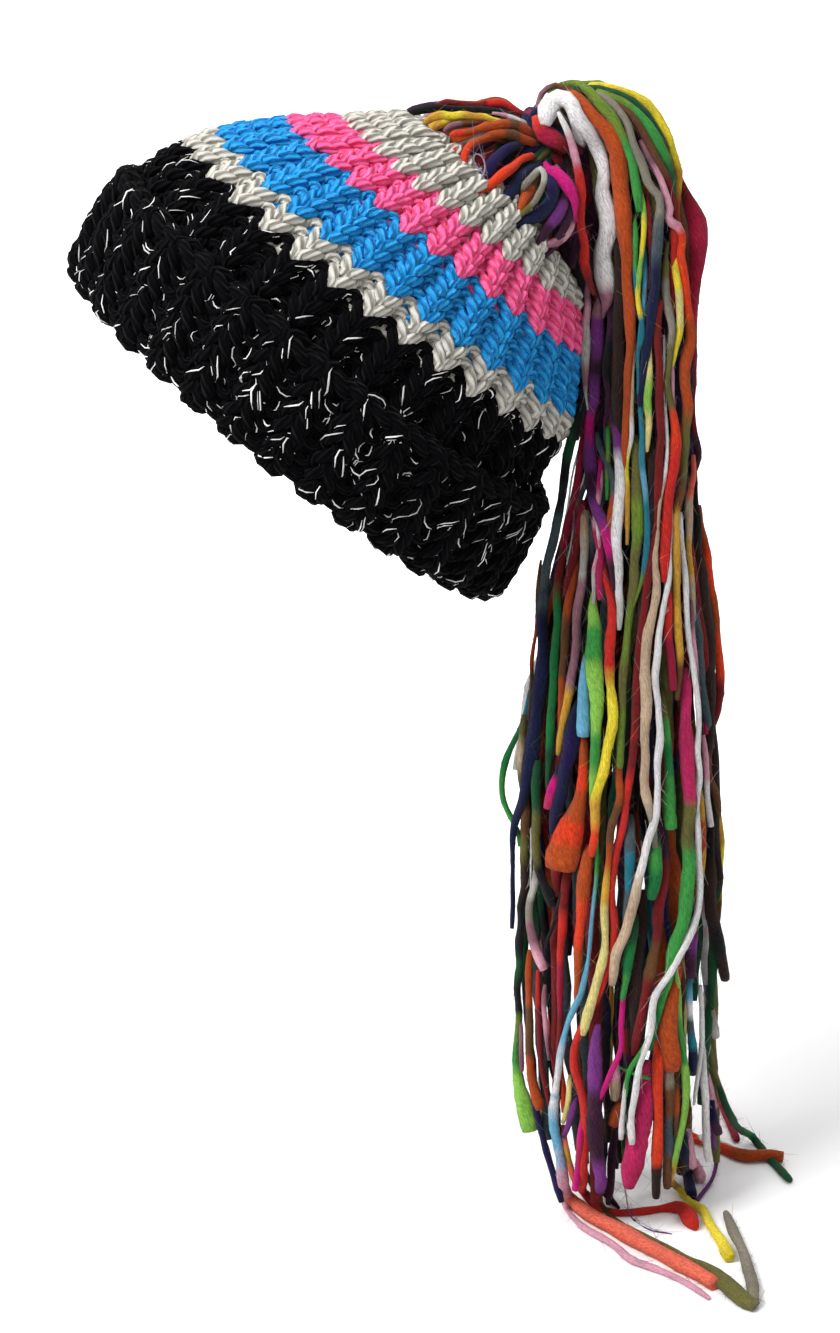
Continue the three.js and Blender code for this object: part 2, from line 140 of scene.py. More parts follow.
painted, painted_out = new_material("matt_white_paint")
finish_material(painted, painted_out, add_node(painted, "ShaderNodeBsdfPrincipled", [
    ("Base Color", (*to_linear("#f4f4f4"), 1)), ("Roughness", 0.9),
    ("Specular IOR Level", 0.1)]))
floor = smooth_object("floor", *floor_sheet(), painted)

LAMPS = [
    # name, power W, size m, place, looks at
    ("key_lamp", 44.0, 0.9, (-0.95, -0.8, 1.3), (0.08, 0.0, 0.0)),
    ("top_lamp", 14.0, 1.6, (0.2, 0.2, 1.5), (0.1, 0.0, -0.3)),
    ("backdrop_lamp", 60.0, 2.0, (0.1, 1.0, 1.4), (0.1, 3.0, 0.4)),
]
for name, power, size, place, aim in LAMPS:
    lamp_data = bpy.data.lights.new(name, "AREA")
    lamp_data.energy = power
    lamp_data.size = size
    lamp = bpy.data.objects.new(name, lamp_data)
    lamp.location = place
    towards = np.array(aim) - np.array(place)
    flat = math.hypot(towards[0], towards[1])
    lamp.rotation_euler = (math.atan2(flat, -towards[2]), 0,
                           math.atan2(towards[1], towards[0]) - math.pi / 2)
    bpy.context.scene.collection.objects.link(lamp)

world = bpy.data.worlds.new("soft_room")
world.use_nodes = True
world.node_tree.nodes["Background"].inputs["Color"].default_value = (1, 1, 1, 1)
world.node_tree.nodes["Background"].inputs["Strength"].default_value = ROOM_LIGHT
bpy.context.scene.world = world


# Knit. One by one rib in chunky plied wool-blend yarn, 64 stitches round. Each row of yarn is one
# closed line of loops: it shows as plump V shapes on a rib and as low bumps between two ribs.
MM = 0.001
HAT_LEAN = math.radians(38.45)
RIBS = 32
RIB_TURN = -1.7
BROAD_LOW = 0.82
BROAD_TOP = 0.9
BROAD_FROM = 63.0
TOP_EDGE = 124.5
POINTS_A_STITCH = 16
YARN_SIDES = 8
YARN_RADIUS = 2.4
LOOP_HIGH = 0.95
LOOP_LOOSE = 0.08
LOOP_THIN = 0.78
LOOP_GAIN = 0.22
KNIT_SHARE = 0.62
LOOP_SWING = 0.32
ROW_DRIFT = 0.05
DEPTH_DRIFT = 0.25
RIB_MIDDLE = -4.9
RIB_RELIEF = 1.0
KNIT_RELIEF = 2.0
PURL_RELIEF = 1.5
PLY_PITCH = 26.0
PLIES = 5.0
PLY_DEPTH = 0.1
BACKING_A_RIB = 4
BACKING_DEPTH = 1.3
BACKING_THICK = 0.8
BACKING_SHIFT = 0.45
# painted shade: how dark the backing is against its own yarn colour
BACKING_PAINTED_SHADE = 0.12
EDGE_A_RIB = 8
EDGE_DEPTH = -3.4
EDGE_SWING = 0.2
EDGE_CROSS = 1.5
FLECK_COLOUR = "#fbfaf7"
FLECK_RADIUS = 0.3
FLECK_POINTS = 4
FLECK_SIDES = 4
FLECK_SPREAD = 0.9
FLECK_BEND = 0.35
FLECK_TIP = 0.35
FLECK_LIFT = 1.06


def eased(places, values, at):
    """A smooth line through (place, value) pairs: cubic pieces, each with the slope of the line
    from the point before it to the point after it, run on straight past both ends."""
    places = np.asarray(places, float)
    values = np.asarray(values, float)
    slope = np.gradient(values, places, axis=0)
    i = np.clip(np.searchsorted(places, at, side="right") - 1, 0, len(places) - 2)
    width = places[i + 1] - places[i]
    part = (at - places[i]) / width
    inside = np.clip(part, 0, 1)
    extra = (part - inside) * width
    if values.ndim > 1:
        inside, extra, width = inside[..., None], extra[..., None], width[..., None]
    run_on = slope[i] * (extra < 0) + slope[i + 1] * (extra > 0)
    return (values[i] * (1 + 2 * inside) * (1 - inside) ** 2
            + slope[i] * width * inside * (1 - inside) ** 2
            + values[i + 1] * inside ** 2 * (3 - 2 * inside)
            + slope[i + 1] * width * inside ** 2 * (inside - 1)
            + run_on * extra)


def from_hat(across, side, up):
    """World metres of a point given in mm along the hat's own axes, which lean back."""
    cos, sin = math.cos(HAT_LEAN), math.sin(HAT_LEAN)
    return np.stack([across * cos + up * sin, side, up * cos - across * sin], -1) * MM


def knit_face(guide, turn, row):
    """The visible face of the knit: an oval ring at each row, wider front to back than across,
    whose front and back reach, height and sag to the back come from the guide's columns."""
    height, front, back, sag = (eased(guide[:, 0], guide[:, i], row) for i in (1, 2, 3, 4))
    part = np.clip((height - BROAD_FROM) / (TOP_EDGE - BROAD_FROM), 0, 1)
    broad = BROAD_LOW + (BROAD_TOP - BROAD_LOW) * part * part * (3 - 2 * part)
    around = turn + (1 - broad) / (2 * (1 + broad)) * np.sin(2 * turn)
    half, middle = (front + back) / 2, (back - front) / 2
    across = middle + half * np.cos(around)
    return from_hat(across, half * broad * np.sin(around),
                    height - sag * np.maximum(0, across / back) ** 2)


def knit_frame(guide, turn, row):
    """A point of the knit's face with its outward normal, from two small steps on the face."""
    step = 1e-3
    here = knit_face(guide, turn, row)
    around = knit_face(guide, turn + step, row) - here
    along = knit_face(guide, turn, row + step) - here
    normal = np.cross(around, along)
    return here, normal / np.linalg.norm(normal, axis=-1, keepdims=True)


def unit(vectors):
    """The same directions, each of length one."""
    return vectors / np.maximum(np.linalg.norm(vectors, axis=-1, keepdims=True), 1e-12)


def tube_grid(path, normal, radius, closed, sides, pitch, swell):
    """Skin of yarns along paths (yarns, points, 3): rings of sides points round each path point,
    swollen on two sides that turn once in each pitch (mm). Returns points, quads and each
    corner's UV, with the length in mm and the turn round the yarn."""
    if closed:
        tangent = unit(np.roll(path, -1, 1) - np.roll(path, 1, 1))
        steps = np.linalg.norm(path - np.roll(path, 1, 1), axis=-1)
        steps[:, 0] = 0
    else:
        tangent = unit(np.gradient(path, axis=1))
        steps = np.zeros(path.shape[:2])
        steps[:, 1:] = np.linalg.norm(np.diff(path, axis=1), axis=-1)
    length = np.cumsum(steps, 1) / MM
    side = unit(np.cross(tangent, normal))
    lift = np.cross(side, tangent)
    turn = np.arange(sides) / sides * 2 * math.pi
    twist = 4 * math.pi * length[..., None] / pitch
    reach = radius[..., None] * (1 + swell * np.cos(2 * turn - twist)) * MM
    ring = (side[:, :, None] * np.cos(turn)[:, None] + lift[:, :, None] * np.sin(turn)[:, None])
    points = path[:, :, None] + ring * reach[..., None]
    yarns, count = path.shape[:2]
    spans = count if closed else count - 1
    base = np.arange(yarns)[:, None, None] * count
    i = np.arange(spans)[:, None]
    j = np.arange(sides)
    here = (base + i) * sides
    ahead = (base + (i + 1) % count) * sides
    quads = np.stack([here + j, here + (j + 1) % sides,
                      ahead + (j + 1) % sides, ahead + j], -1)
    quads = quads.reshape(yarns, spans, sides, 4)
    start = length[:, :spans]
    gap = np.linalg.norm(path[:, 0] - path[:, -1], axis=-1)[:, None] / MM
    end = np.concatenate([length[:, 1:], length[:, -1:] + gap], 1)[:, :spans]
    low = np.broadcast_to((j / sides)[None, None], quads.shape[:3])
    high = low + 1 / sides
    start = np.broadcast_to(start[..., None], quads.shape[:3])
    end = np.broadcast_to(end[..., None], quads.shape[:3])
    uv = np.stack([np.stack([start, low], -1), np.stack([start, high], -1),
                   np.stack([end, high], -1), np.stack([end, low], -1)], -2)
    quads, uv = quads.reshape(-1, 4), uv.reshape(-1, 4, 2)
    if not closed:
        pairs = np.arange(sides // 2 - 1)
        lid = np.stack([(sides - pairs) % sides, sides - 1 - pairs, pairs + 2, pairs + 1], -1)
        first = base.reshape(-1, 1, 1) * sides + lid
        last = first[..., ::-1] + (count - 1) * sides
        quads = np.concatenate([quads, first.reshape(-1, 4), last.reshape(-1, 4)])
        uv = np.concatenate([uv, np.zeros((2 * lid.shape[0] * yarns, 4, 2))])
    return points.reshape(-1, 3), quads, uv


def yarn_object(name, parts, material):
    """One object from (points, quads, UV, colour) parts, colours kept in the attribute tint."""
    starts = np.cumsum([0] + [len(p[0]) for p in parts[:-1]])
    points = np.concatenate([p[0] for p in parts])
    quads = np.concatenate([p[1] + s for p, s in zip(parts, starts)])
    uv = np.concatenate([p[2].reshape(-1, 2) for p in parts])
    tint = np.concatenate([np.broadcast_to(p[3], (len(p[0]), 3)) for p in parts])
    thing = smooth_object(name, points, quads.tolist(), material)
    layer = thing.data.uv_layers.new(name="along_the_yarn")
    layer.data.foreach_set("uv", uv.astype(np.float32).ravel())
    paint = thing.data.attributes.new("tint", "FLOAT_COLOR", "POINT")
    paint.data.foreach_set("color", np.c_[tint, np.ones(len(tint))].astype(np.float32).ravel())
    return thing


def knit_rows(guide, rows, heading, dice):
    """The rows of yarn of one piece. Along a stitch the yarn swings to both sides while it rises
    from one row to the next and comes back, which makes a loop. On a rib its legs lie in front,
    and between two ribs its head does."""
    phase = np.arange(POINTS_A_STITCH) / POINTS_A_STITCH * 2 * math.pi
    swing = phase / (2 * math.pi) + LOOP_SWING * np.sin(2 * phase)
    depth = 0.25 + 0.5 * np.cos(phase) - 0.75 * np.cos(2 * phase)
    rib = np.arange(RIBS)[:, None]
    knit = rib - KNIT_SHARE / 2 + KNIT_SHARE * swing
    purl = rib + KNIT_SHARE / 2 + (1 - KNIT_SHARE) * swing
    column = np.stack([knit, purl], 1)[None] + np.zeros((len(rows), 1, 1, 1))
    loose = 1 + LOOP_LOOSE * dice.standard_normal(column.shape[:3])[..., None]
    high = -heading * LOOP_HIGH * np.cos(phase) * loose
    row = np.asarray(rows, float)[:, None, None, None] + high
    row = row + ROW_DRIFT * dice.standard_normal(column.shape[:3])[..., None]
    relief = np.stack([KNIT_RELIEF * depth, -PURL_RELIEF * depth])
    down = RIB_MIDDLE + RIB_RELIEF * np.cos(2 * math.pi * column) + relief[None, None]
    down = down + DEPTH_DRIFT * dice.standard_normal(column.shape[:3])[..., None]
    flat = (len(rows), -1)
    turn = np.radians(RIB_TURN + column * 360 / RIBS)
    here, normal = knit_frame(guide, turn.reshape(flat), row.reshape(flat))
    path = here + normal * (down.reshape(flat) * MM)[..., None]
    full = LOOP_THIN + LOOP_GAIN * np.sin(phase) ** 2
    full = np.tile(full, RIBS * 2) * np.ones((len(rows), 1))
    return path, normal, YARN_RADIUS * full


def knit_backing(guide, low, high, tint):
    """A soft ribbed skin just behind the yarn that keeps the light from showing through; its tint
    is the yarn's colour made far darker, painted shade for the gaps between the stitches.
    """
    place = np.arange(RIBS * BACKING_A_RIB)
    turn, row = np.meshgrid(np.radians(RIB_TURN + place * 360 / (RIBS * BACKING_A_RIB)),
                            np.linspace(low, high, max(3, int((high - low) * 2))), indexing="xy")
    here, normal = knit_frame(guide, turn, row)
    wave = np.cos(2 * math.pi * place / BACKING_A_RIB)
    skins = []
    for inward in (BACKING_DEPTH, BACKING_DEPTH + BACKING_THICK):
        skins.append(here + normal * ((RIB_MIDDLE + RIB_RELIEF * wave - inward) * MM)[:, None])
    front, back = skins
    points = np.concatenate([front, back[::-1]])
    count, around = points.shape[:2]
    i = np.arange(count)[:, None]
    j = np.arange(around)
    ahead = (i + 1) % count
    quads = np.stack([i * around + j, i * around + (j + 1) % around,
                      ahead * around + (j + 1) % around, ahead * around + j], -1)
    quads = quads.reshape(-1, 4)
    return points.reshape(-1, 3), quads, np.zeros((len(quads), 4, 2)), tint


def yarn_flecks(path, normal, radius, count, dice):
    """Short pale slubs of another fibre, spun in with the yarn: each one follows its yarn for a
    few mm, on the side that looks outwards, and bends a little round it."""
    yarns, points = path.shape[:2]
    yarn = dice.integers(0, yarns, count)[:, None]
    at = (dice.integers(0, points, count)[:, None] + np.arange(FLECK_POINTS)) % points
    line = path[yarn, at]
    outward = normal[yarn, at]
    side = unit(np.cross(np.gradient(line, axis=1), outward))
    lean = dice.uniform(-FLECK_SPREAD, FLECK_SPREAD, (count, 1))
    lean = lean + np.linspace(-FLECK_BEND, FLECK_BEND, FLECK_POINTS)
    reach = (radius[yarn, at] * FLECK_LIFT * MM)[..., None]
    line = line + (outward * np.cos(lean)[..., None] + side * np.sin(lean)[..., None]) * reach
    slim = FLECK_RADIUS * np.sin(np.linspace(FLECK_TIP, math.pi - FLECK_TIP, FLECK_POINTS))
    thick = slim * dice.uniform(0.6, 1.25, (count, 1))
    skin, quads, uv = tube_grid(line, outward, thick, False, FLECK_SIDES, PLY_PITCH, 0.0)
    shade = np.repeat(dice.uniform(0.5, 1.0, count), FLECK_POINTS * FLECK_SIDES)[:, None]
    return skin, quads, np.zeros_like(uv), to_linear(FLECK_COLOUR) * shade


def edge_yarns(guide, row):
    """The cast-on edge: two yarns that run round the last row and cross at every stitch."""
    turn = np.arange(RIBS * EDGE_A_RIB) / (RIBS * EDGE_A_RIB) * 2 * math.pi
    cross = np.stack([RIBS * turn, RIBS * turn + math.pi])
    here, normal = knit_frame(guide, np.stack([turn, turn]), row + EDGE_SWING * np.cos(cross))
    path = here + normal * ((EDGE_DEPTH + EDGE_CROSS * np.sin(cross)) * MM)[..., None]
    return path, normal, np.full(path.shape[:2], YARN_RADIUS)


def plied_wool(name, groove_shade, pale):
    """Plied wool-blend yarn: matt, with fine fibres along the plies, a dark line of painted shade
    in the groove between two plies, and a few paler fibres that are partly painted highlight. The
    tint comes from the yarn's own colour attribute."""
    material, output = new_material(name)
    tint = add_node(material, "ShaderNodeAttribute", attribute_name="tint")
    place = add_node(material, "ShaderNodeUVMap", uv_map="along_the_yarn")
    split = add_node(material, "ShaderNodeSeparateXYZ", [(0, place.outputs[0])])
    turns = add_node(material, "ShaderNodeMath", [(0, split.outputs[1]), (1, PLIES)],
                     operation="MULTIPLY")
    lay = add_node(material, "ShaderNodeMath", [(0, split.outputs[0]), (1, PLIES / PLY_PITCH)],
                   operation="MULTIPLY")
    ply = add_node(material, "ShaderNodeMath", [(0, turns.outputs[0]), (1, lay.outputs[0])],
                   operation="SUBTRACT")
    angle = add_node(material, "ShaderNodeMath", [(0, ply.outputs[0]), (1, 2 * math.pi)],
                     operation="MULTIPLY")
    wave = add_node(material, "ShaderNodeMath", [(0, angle.outputs[0])], operation="COSINE")
    fibre_place = add_node(material, "ShaderNodeCombineXYZ",
                           [(0, lay.outputs[0]), (1, ply.outputs[0])])
    stretch = add_node(material, "ShaderNodeMapping",
                       [(0, fibre_place.outputs[0]), ("Scale", (3.0, 9.0, 1.0))])
    fibre = add_node(material, "ShaderNodeTexNoise",
                     [("Vector", stretch.outputs[0]), ("Scale", 1.0), ("Detail", 3.0)])
    # Painted shade: the tint is darkened in the groove between two plies.
    groove_shade_amount = add_node(material, "ShaderNodeMapRange",
                             [("Value", wave.outputs[0]), ("From Min", -1.0), ("From Max", -0.2),
                              ("To Min", 1.0), ("To Max", 0.0)])
    dark = add_node(material, "ShaderNodeMix", [
        ("Factor", groove_shade_amount.outputs[0]), (6, tint.outputs["Color"]),
        (7, (*to_linear(groove_shade), 1))], data_type="RGBA", blend_type="MULTIPLY")
    # Paler streaks where the fibre noise is high: partly paler wool, partly painted highlight on
    # the plies.
    streak = add_node(material, "ShaderNodeMapRange",
                      [("Value", fibre.outputs[0]), ("From Min", 0.56), ("From Max", 0.72),
                       ("To Min", 0.0), ("To Max", 0.55)])
    fair = add_node(material, "ShaderNodeMix", [
        ("Factor", streak.outputs[0]), (6, dark.outputs[2]), (7, (*to_linear(pale), 1))],
        data_type="RGBA", blend_type="MIX")
    relief = add_node(material, "ShaderNodeMath",
                      [(0, fibre.outputs[0]), (1, 0.6), (2, wave.outputs[0])],
                      operation="MULTIPLY_ADD")
    bump = add_node(material, "ShaderNodeBump",
                    [("Height", relief.outputs[0]), ("Strength", 0.9), ("Distance", 0.0005)])
    shader = add_node(material, "ShaderNodeBsdfPrincipled", [
        ("Base Color", fair.outputs[2]), ("Roughness", 0.95), ("Specular IOR Level", 0.05),
        ("Sheen Weight", 0.015), ("Sheen Roughness", 0.5), ("Normal", bump.outputs[0])])
    return finish_material(material, output, shader)


BODY = np.array([
    # row, height, front, back, sag to the back (mm)
    (0.0, 4.0, 97.5, 99.5, 0.0),
    (2.5, 20.0, 100.3, 96.3, 0.0),
    (5.2, 38.0, 102.6, 92.6, 0.0),
    (7.2, 51.0, 102.0, 90.5, 0.0),
    (9.0, 63.0, 97.0, 88.8, 0.0),
    (11.0, 73.5, 89.3, 85.6, 0.0),
    (13.0, 83.5, 81.0, 79.8, 0.0),
    (15.0, 93.5, 71.0, 73.0, 0.0),
    (18.0, 107.5, 54.8, 61.6, 0.0),
    (19.5, 116.0, 45.5, 57.8, 5.0),
    (21.0, 124.5, 35.0, 53.5, 10.5),
])
CUFF = np.array([
    # row, height, front, back, sag: from the lip inside, round the fold, up the outside
    (0.0, 6.0, 89.5, 91.5, 0.0),
    (1.0, -0.5, 90.5, 92.8, 0.0),
    (1.7, -4.2, 94.0, 96.3, 0.0),
    (2.3, -5.0, 98.5, 101.0, 0.0),
    (2.9, -3.6, 102.6, 105.4, 0.0),
    (3.5, 0.0, 105.0, 107.8, 0.0),
    (4.7, 8.0, 106.8, 107.6, 0.0),
    (7.4, 27.0, 109.8, 104.0, 0.0),
    (9.0, 38.0, 109.3, 101.0, 0.0),
])
BLACK = "#040407"
CREAM = "#bfbcb4"
BLUE = "#1f8bc9"
PINK = "#ee5f97"
KNIT_PIECES = [
    # name, guide, first row, last row, heading, flecks, colour, painted groove shade, paler fibres
    # and painted highlight, slot
    ("cuff", CUFF, 0, 8, -1, 960, BLACK, "#30303a", "#0d0d11", "flecked_black"),
    ("black_band", BODY, 0, 8, 1, 840, BLACK, "#30303a", "#0d0d11", "flecked_black"),
    ("cream_row", BODY, 9, 10, 1, 0, CREAM, "#a5a298", "#f4f2ec", "cream_yarn"),
    ("blue_stripe", BODY, 11, 14, 1, 0, BLUE, "#5f9ecb", "#8fd6f4", "blue_yarn"),
    ("pink_stripe", BODY, 15, 17, 1, 0, PINK, "#e6889a", "#fbb8d6", "pink_yarn"),
    ("grey_crown", BODY, 18, 20, 1, 0, CREAM, "#a5a298", "#f4f2ec", "grey_yarn"),
]
knit_dice = np.random.default_rng(11)
for name, guide, first, last, heading, flecks, colour, groove_shade, pale, slot in KNIT_PIECES:
    rows = np.arange(first, last + 1) + 0.5
    yarns = [knit_rows(guide, rows, heading, knit_dice)]
    if name == "cuff":
        yarns.append(edge_yarns(guide, last + 0.9))
    parts = [(*tube_grid(*yarn, True, YARN_SIDES, PLY_PITCH, PLY_DEPTH), to_linear(colour))
             for yarn in yarns]
    low = first + BACKING_SHIFT if first else 0
    high = min(last + 1 + BACKING_SHIFT, guide[-1, 0])
    # The backing's tint is painted shade: the yarn colour darkened for the gaps between stitches.
    parts.append(knit_backing(guide, low, high, to_linear(colour) * BACKING_PAINTED_SHADE))
    if flecks:
        parts.append(yarn_flecks(*yarns[0], flecks, knit_dice))
    piece = yarn_object(name + "_knit", parts, plied_wool(name + "_wool", groove_shade, pale))
    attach(piece, "root")
    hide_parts(name)


# Crown loops. Thick-and-thin handspun wool, folded through the top stitches and drawn together
# at the tie, over an under-layer of strands in dark colours that paint the shade under the loops.
# The near side is charted strand by strand, and the far side mirrors it in other colours, without
# its two small loops.
STRAND_SIDES = 8
STRAND_STEP = 0.003
FELT_LAY = 60.0
FELT_DEPTH = 0.07
FELT_ALONG = 0.11
FELT_SHIFT = (40.0, 40.0, 40.0)
FLAT_FROM = 2.8
END_HOLD = 0.02
BLUNT_END = 0.8
FIBRE_RADIUS = 0.07
FIBRE_POINTS = 4
FIBRE_SIDES = 4
PIXEL_RADIUS = 0.2
YARN_COLOURS = {
    "white": "#f6f4f4", "grey": "#c4c2bb", "crimson": "#a3143a", "red": "#d42a22",
    "dark_red": "#7c1418", "burnt_orange": "#b84c19", "orange_red": "#e8401a",
    "yellow": "#fbe43a", "gold": "#dba538", "pale_yellow": "#e9d98a", "olive": "#6f8c2e",
    "green": "#3f9e46", "lime": "#8fcb52", "emerald": "#167a3c", "dark_green": "#14512f",
    "teal": "#1f7f93", "light_blue": "#6fb6d8", "navy": "#141a42", "indigo": "#1b1149",
    "purple": "#7a3385", "plum": "#3a1230", "magenta": "#d4127f", "raspberry": "#c2245f",
    "light_pink": "#e9a9bd", "mauve": "#9b6a78", "taupe": "#928a7c", "slate": "#4a5a60",
    "beige": "#cdb296", "brown": "#6b4526", "dark_brown": "#2c1a14", "salmon": "#f5735a",
    "khaki": "#6d6a35", "black": "#100e13", "lilac": "#c9b6cf",
}


def waves(length, shortest, longest, dice):
    """A smooth uneven line along a strand: four sine waves of different lengths, added up."""
    long = dice.uniform(shortest, longest, 4)
    start = dice.uniform(0, 2 * math.pi, 4)
    return np.sin(2 * math.pi * length[:, None] / long + start).sum(1) / 2.8


def wool_strand(points, radii, shades, dice, wander=0.7, uneven=0.16, flat_axis=1,
                step=STRAND_STEP):
    """One strand through the points (metres), with a radius (mm) for each: a smooth line with a
    slight wander, a little thick and thin by turns, and blunt ends. Where it is wide it is
    pressed flat along one world axis. Shades are (place along it, colour name) pairs."""
    points = np.asarray(points, float)
    gaps = np.linalg.norm(np.diff(points, axis=0), axis=1)
    places = np.r_[0, np.cumsum(gaps)]
    count = max(6, int(places[-1] / min(step, 3 * MM * np.mean(radii))))
    length = np.linspace(0, places[-1], count)
    line = eased(places, points, length)
    heading = unit(np.gradient(line, axis=0))
    across = np.linalg.eigh(heading.T @ heading)[1][:, 0]
    side = unit(np.cross(heading, across))
    hold = np.clip(np.minimum(length, places[-1] - length) / END_HOLD, 0, 1)
    sway = [waves(length / MM, 16, 60, dice) * wander * hold * MM for _ in range(2)]
    line = line + side * sway[0][:, None] + across * sway[1][:, None]
    part = length / places[-1]
    radius = np.interp(length, places, radii)
    radius = radius * (1 + uneven * waves(length / MM, 9, 40, dice)
                       + 0.05 * waves(length / MM, 5, 9, dice))
    radius[[0, -1]] *= BLUNT_END
    skin, quads, uv = tube_grid(line[None], np.broadcast_to(across, line.shape)[None],
                                radius[None], False, STRAND_SIDES, FELT_LAY, FELT_DEPTH)
    press = np.repeat(np.minimum(1, FLAT_FROM / radius), STRAND_SIDES)
    middle = np.repeat(line[:, flat_axis], STRAND_SIDES)
    skin[:, flat_axis] = middle + (skin[:, flat_axis] - middle) * press
    marks = np.array([s[0] for s in shades])
    colours = np.array([to_linear(YARN_COLOURS[s[1]]) for s in shades])
    mottle = 0.02 * waves(length / MM, 6, 25, dice)
    tint = np.stack([np.interp(part + mottle, marks, colours[:, i]) for i in range(3)], -1)
    tint = tint * (1 + 0.10 * waves(length / MM, 12, 50, dice))[:, None]
    return skin, quads, uv, np.repeat(np.clip(tint, 0, 1), STRAND_SIDES, axis=0)


def charted(chart):
    """Columns of a charted line: across, down (pixels) and the radius (mm) that the width means
    at the hat's distance."""
    across, down, width = np.array([point.split(",") for point in chart.split()], float).T
    return across, down, width * PIXEL_RADIUS


def loose_fibres(parts, count, dice):
    """Fine fibres that stand off the strands: each one leaves the skin, runs on along the strand
    for a few mm and bends away from it."""
    rings = np.concatenate([p[0].reshape(-1, STRAND_SIDES, 3)[:-1] for p in parts])
    ahead = np.concatenate([np.diff(p[0].reshape(-1, STRAND_SIDES, 3).mean(1), axis=0)
                            for p in parts])
    tint = np.concatenate([p[3].reshape(-1, STRAND_SIDES, 3)[:-1, 0] for p in parts])
    pick = dice.integers(0, len(rings), count)
    root = rings[pick, dice.integers(0, STRAND_SIDES, count)]
    outward = unit(root - rings[pick].mean(1))
    heading = unit(ahead[pick]) * dice.choice([-1.0, 1.0], (count, 1))
    heading = heading + dice.normal(0, 0.3, (count, 3))
    long = (dice.uniform(2.5, 8, count) * MM)[:, None, None]
    step = np.linspace(0, 1, FIBRE_POINTS)[:, None]
    lift = dice.uniform(0.1, 0.6, count)[:, None, None]
    path = root[:, None] + long * (heading[:, None] * step + outward[:, None] * lift * step ** 1.5)
    path[..., 2] = np.maximum(path[..., 2], TABLE_Z + 0.0005)
    thick = np.broadcast_to(FIBRE_RADIUS * (1 - 0.5 * step[:, 0]), path.shape[:2])
    skin, quads, uv = tube_grid(path, np.broadcast_to(outward[:, None], path.shape), thick, False,
                                FIBRE_SIDES, FELT_LAY, 0.0)
    pale = tint[pick] * 0.9 + 0.05
    return skin, quads, uv, np.repeat(pale, FIBRE_POINTS * FIBRE_SIDES, axis=0)


def even_shades(words):
    """Colours one after the other, evenly along a strand, each with a short change-over."""
    names = words.split()
    if len(names) == 1:
        return [(0.0, names[0]), (1.0, names[0])]
    shades = []
    for i, name in enumerate(names):
        low, high = i / len(names), (i + 1) / len(names)
        shades += [(low + 0.02, name), (high - 0.02, name)]
    return shades


def felted_wool():
    """Handspun, lightly felted wool: matt and hairy, with loose fibres that lie along the
    strand in a slow twist and are a little lighter or darker than the rest."""
    material, output = new_material("felted_wool")
    tint = add_node(material, "ShaderNodeAttribute", attribute_name="tint")
    place = add_node(material, "ShaderNodeUVMap", uv_map="along_the_yarn")
    split = add_node(material, "ShaderNodeSeparateXYZ", [(0, place.outputs[0])])
    lay = add_node(material, "ShaderNodeMath", [(0, split.outputs[0]), (1, 1 / FELT_LAY)],
                   operation="MULTIPLY")
    turn = add_node(material, "ShaderNodeMath", [(0, split.outputs[1]), (1, lay.outputs[0])],
                    operation="SUBTRACT")
    angle = add_node(material, "ShaderNodeMath", [(0, turn.outputs[0]), (1, 2 * math.pi)],
                     operation="MULTIPLY")
    round_x = add_node(material, "ShaderNodeMath", [(0, angle.outputs[0])], operation="COSINE")
    round_y = add_node(material, "ShaderNodeMath", [(0, angle.outputs[0])], operation="SINE")
    along = add_node(material, "ShaderNodeMath", [(0, split.outputs[0]), (1, FELT_ALONG)],
                     operation="MULTIPLY")
    wound = add_node(material, "ShaderNodeCombineXYZ", [
        (0, round_x.outputs[0]), (1, round_y.outputs[0]), (2, along.outputs[0])])
    body = add_node(material, "ShaderNodeTexCoord")
    shift = add_node(material, "ShaderNodeVectorMath", [
        (0, body.outputs["Object"]), (1, FELT_SHIFT)], operation="MULTIPLY")
    spread = add_node(material, "ShaderNodeVectorMath", [
        (0, wound.outputs[0]), (1, shift.outputs[0])], operation="ADD")
    fibre = add_node(material, "ShaderNodeTexNoise",
                     [("Vector", spread.outputs[0]), ("Scale", 6.0), ("Detail", 5.0),
                      ("Roughness", 0.75)])
    darker = add_node(material, "ShaderNodeMapRange",
                      [("Value", fibre.outputs[0]), ("From Min", 0.3), ("From Max", 0.6),
                       ("To Min", 0.8), ("To Max", 0.0)])
    deep = add_node(material, "ShaderNodeMix", [
        ("Factor", darker.outputs[0]), (6, tint.outputs["Color"]),
        (7, (*to_linear("#7c7478"), 1))], data_type="RGBA", blend_type="MULTIPLY")
    lighter = add_node(material, "ShaderNodeMapRange",
                       [("Value", fibre.outputs[0]), ("From Min", 0.6), ("From Max", 0.85),
                        ("To Min", 0.0), ("To Max", 0.14)])
    fair = add_node(material, "ShaderNodeMix", [
        ("Factor", lighter.outputs[0]), (6, deep.outputs[2]), (7, (*to_linear("#e8dcd2"), 1))],
        data_type="RGBA", blend_type="MIX")
    bump = add_node(material, "ShaderNodeBump",
                    [("Height", fibre.outputs[0]), ("Strength", 1.0), ("Distance", 0.0007)])
    shader = add_node(material, "ShaderNodeBsdfPrincipled", [
        ("Base Color", fair.outputs[2]), ("Roughness", 0.92), ("Specular IOR Level", 0.15),
        ("Sheen Weight", 0.06), ("Sheen Roughness", 0.5), ("Normal", bump.outputs[0])])
    return finish_material(material, output, shader)


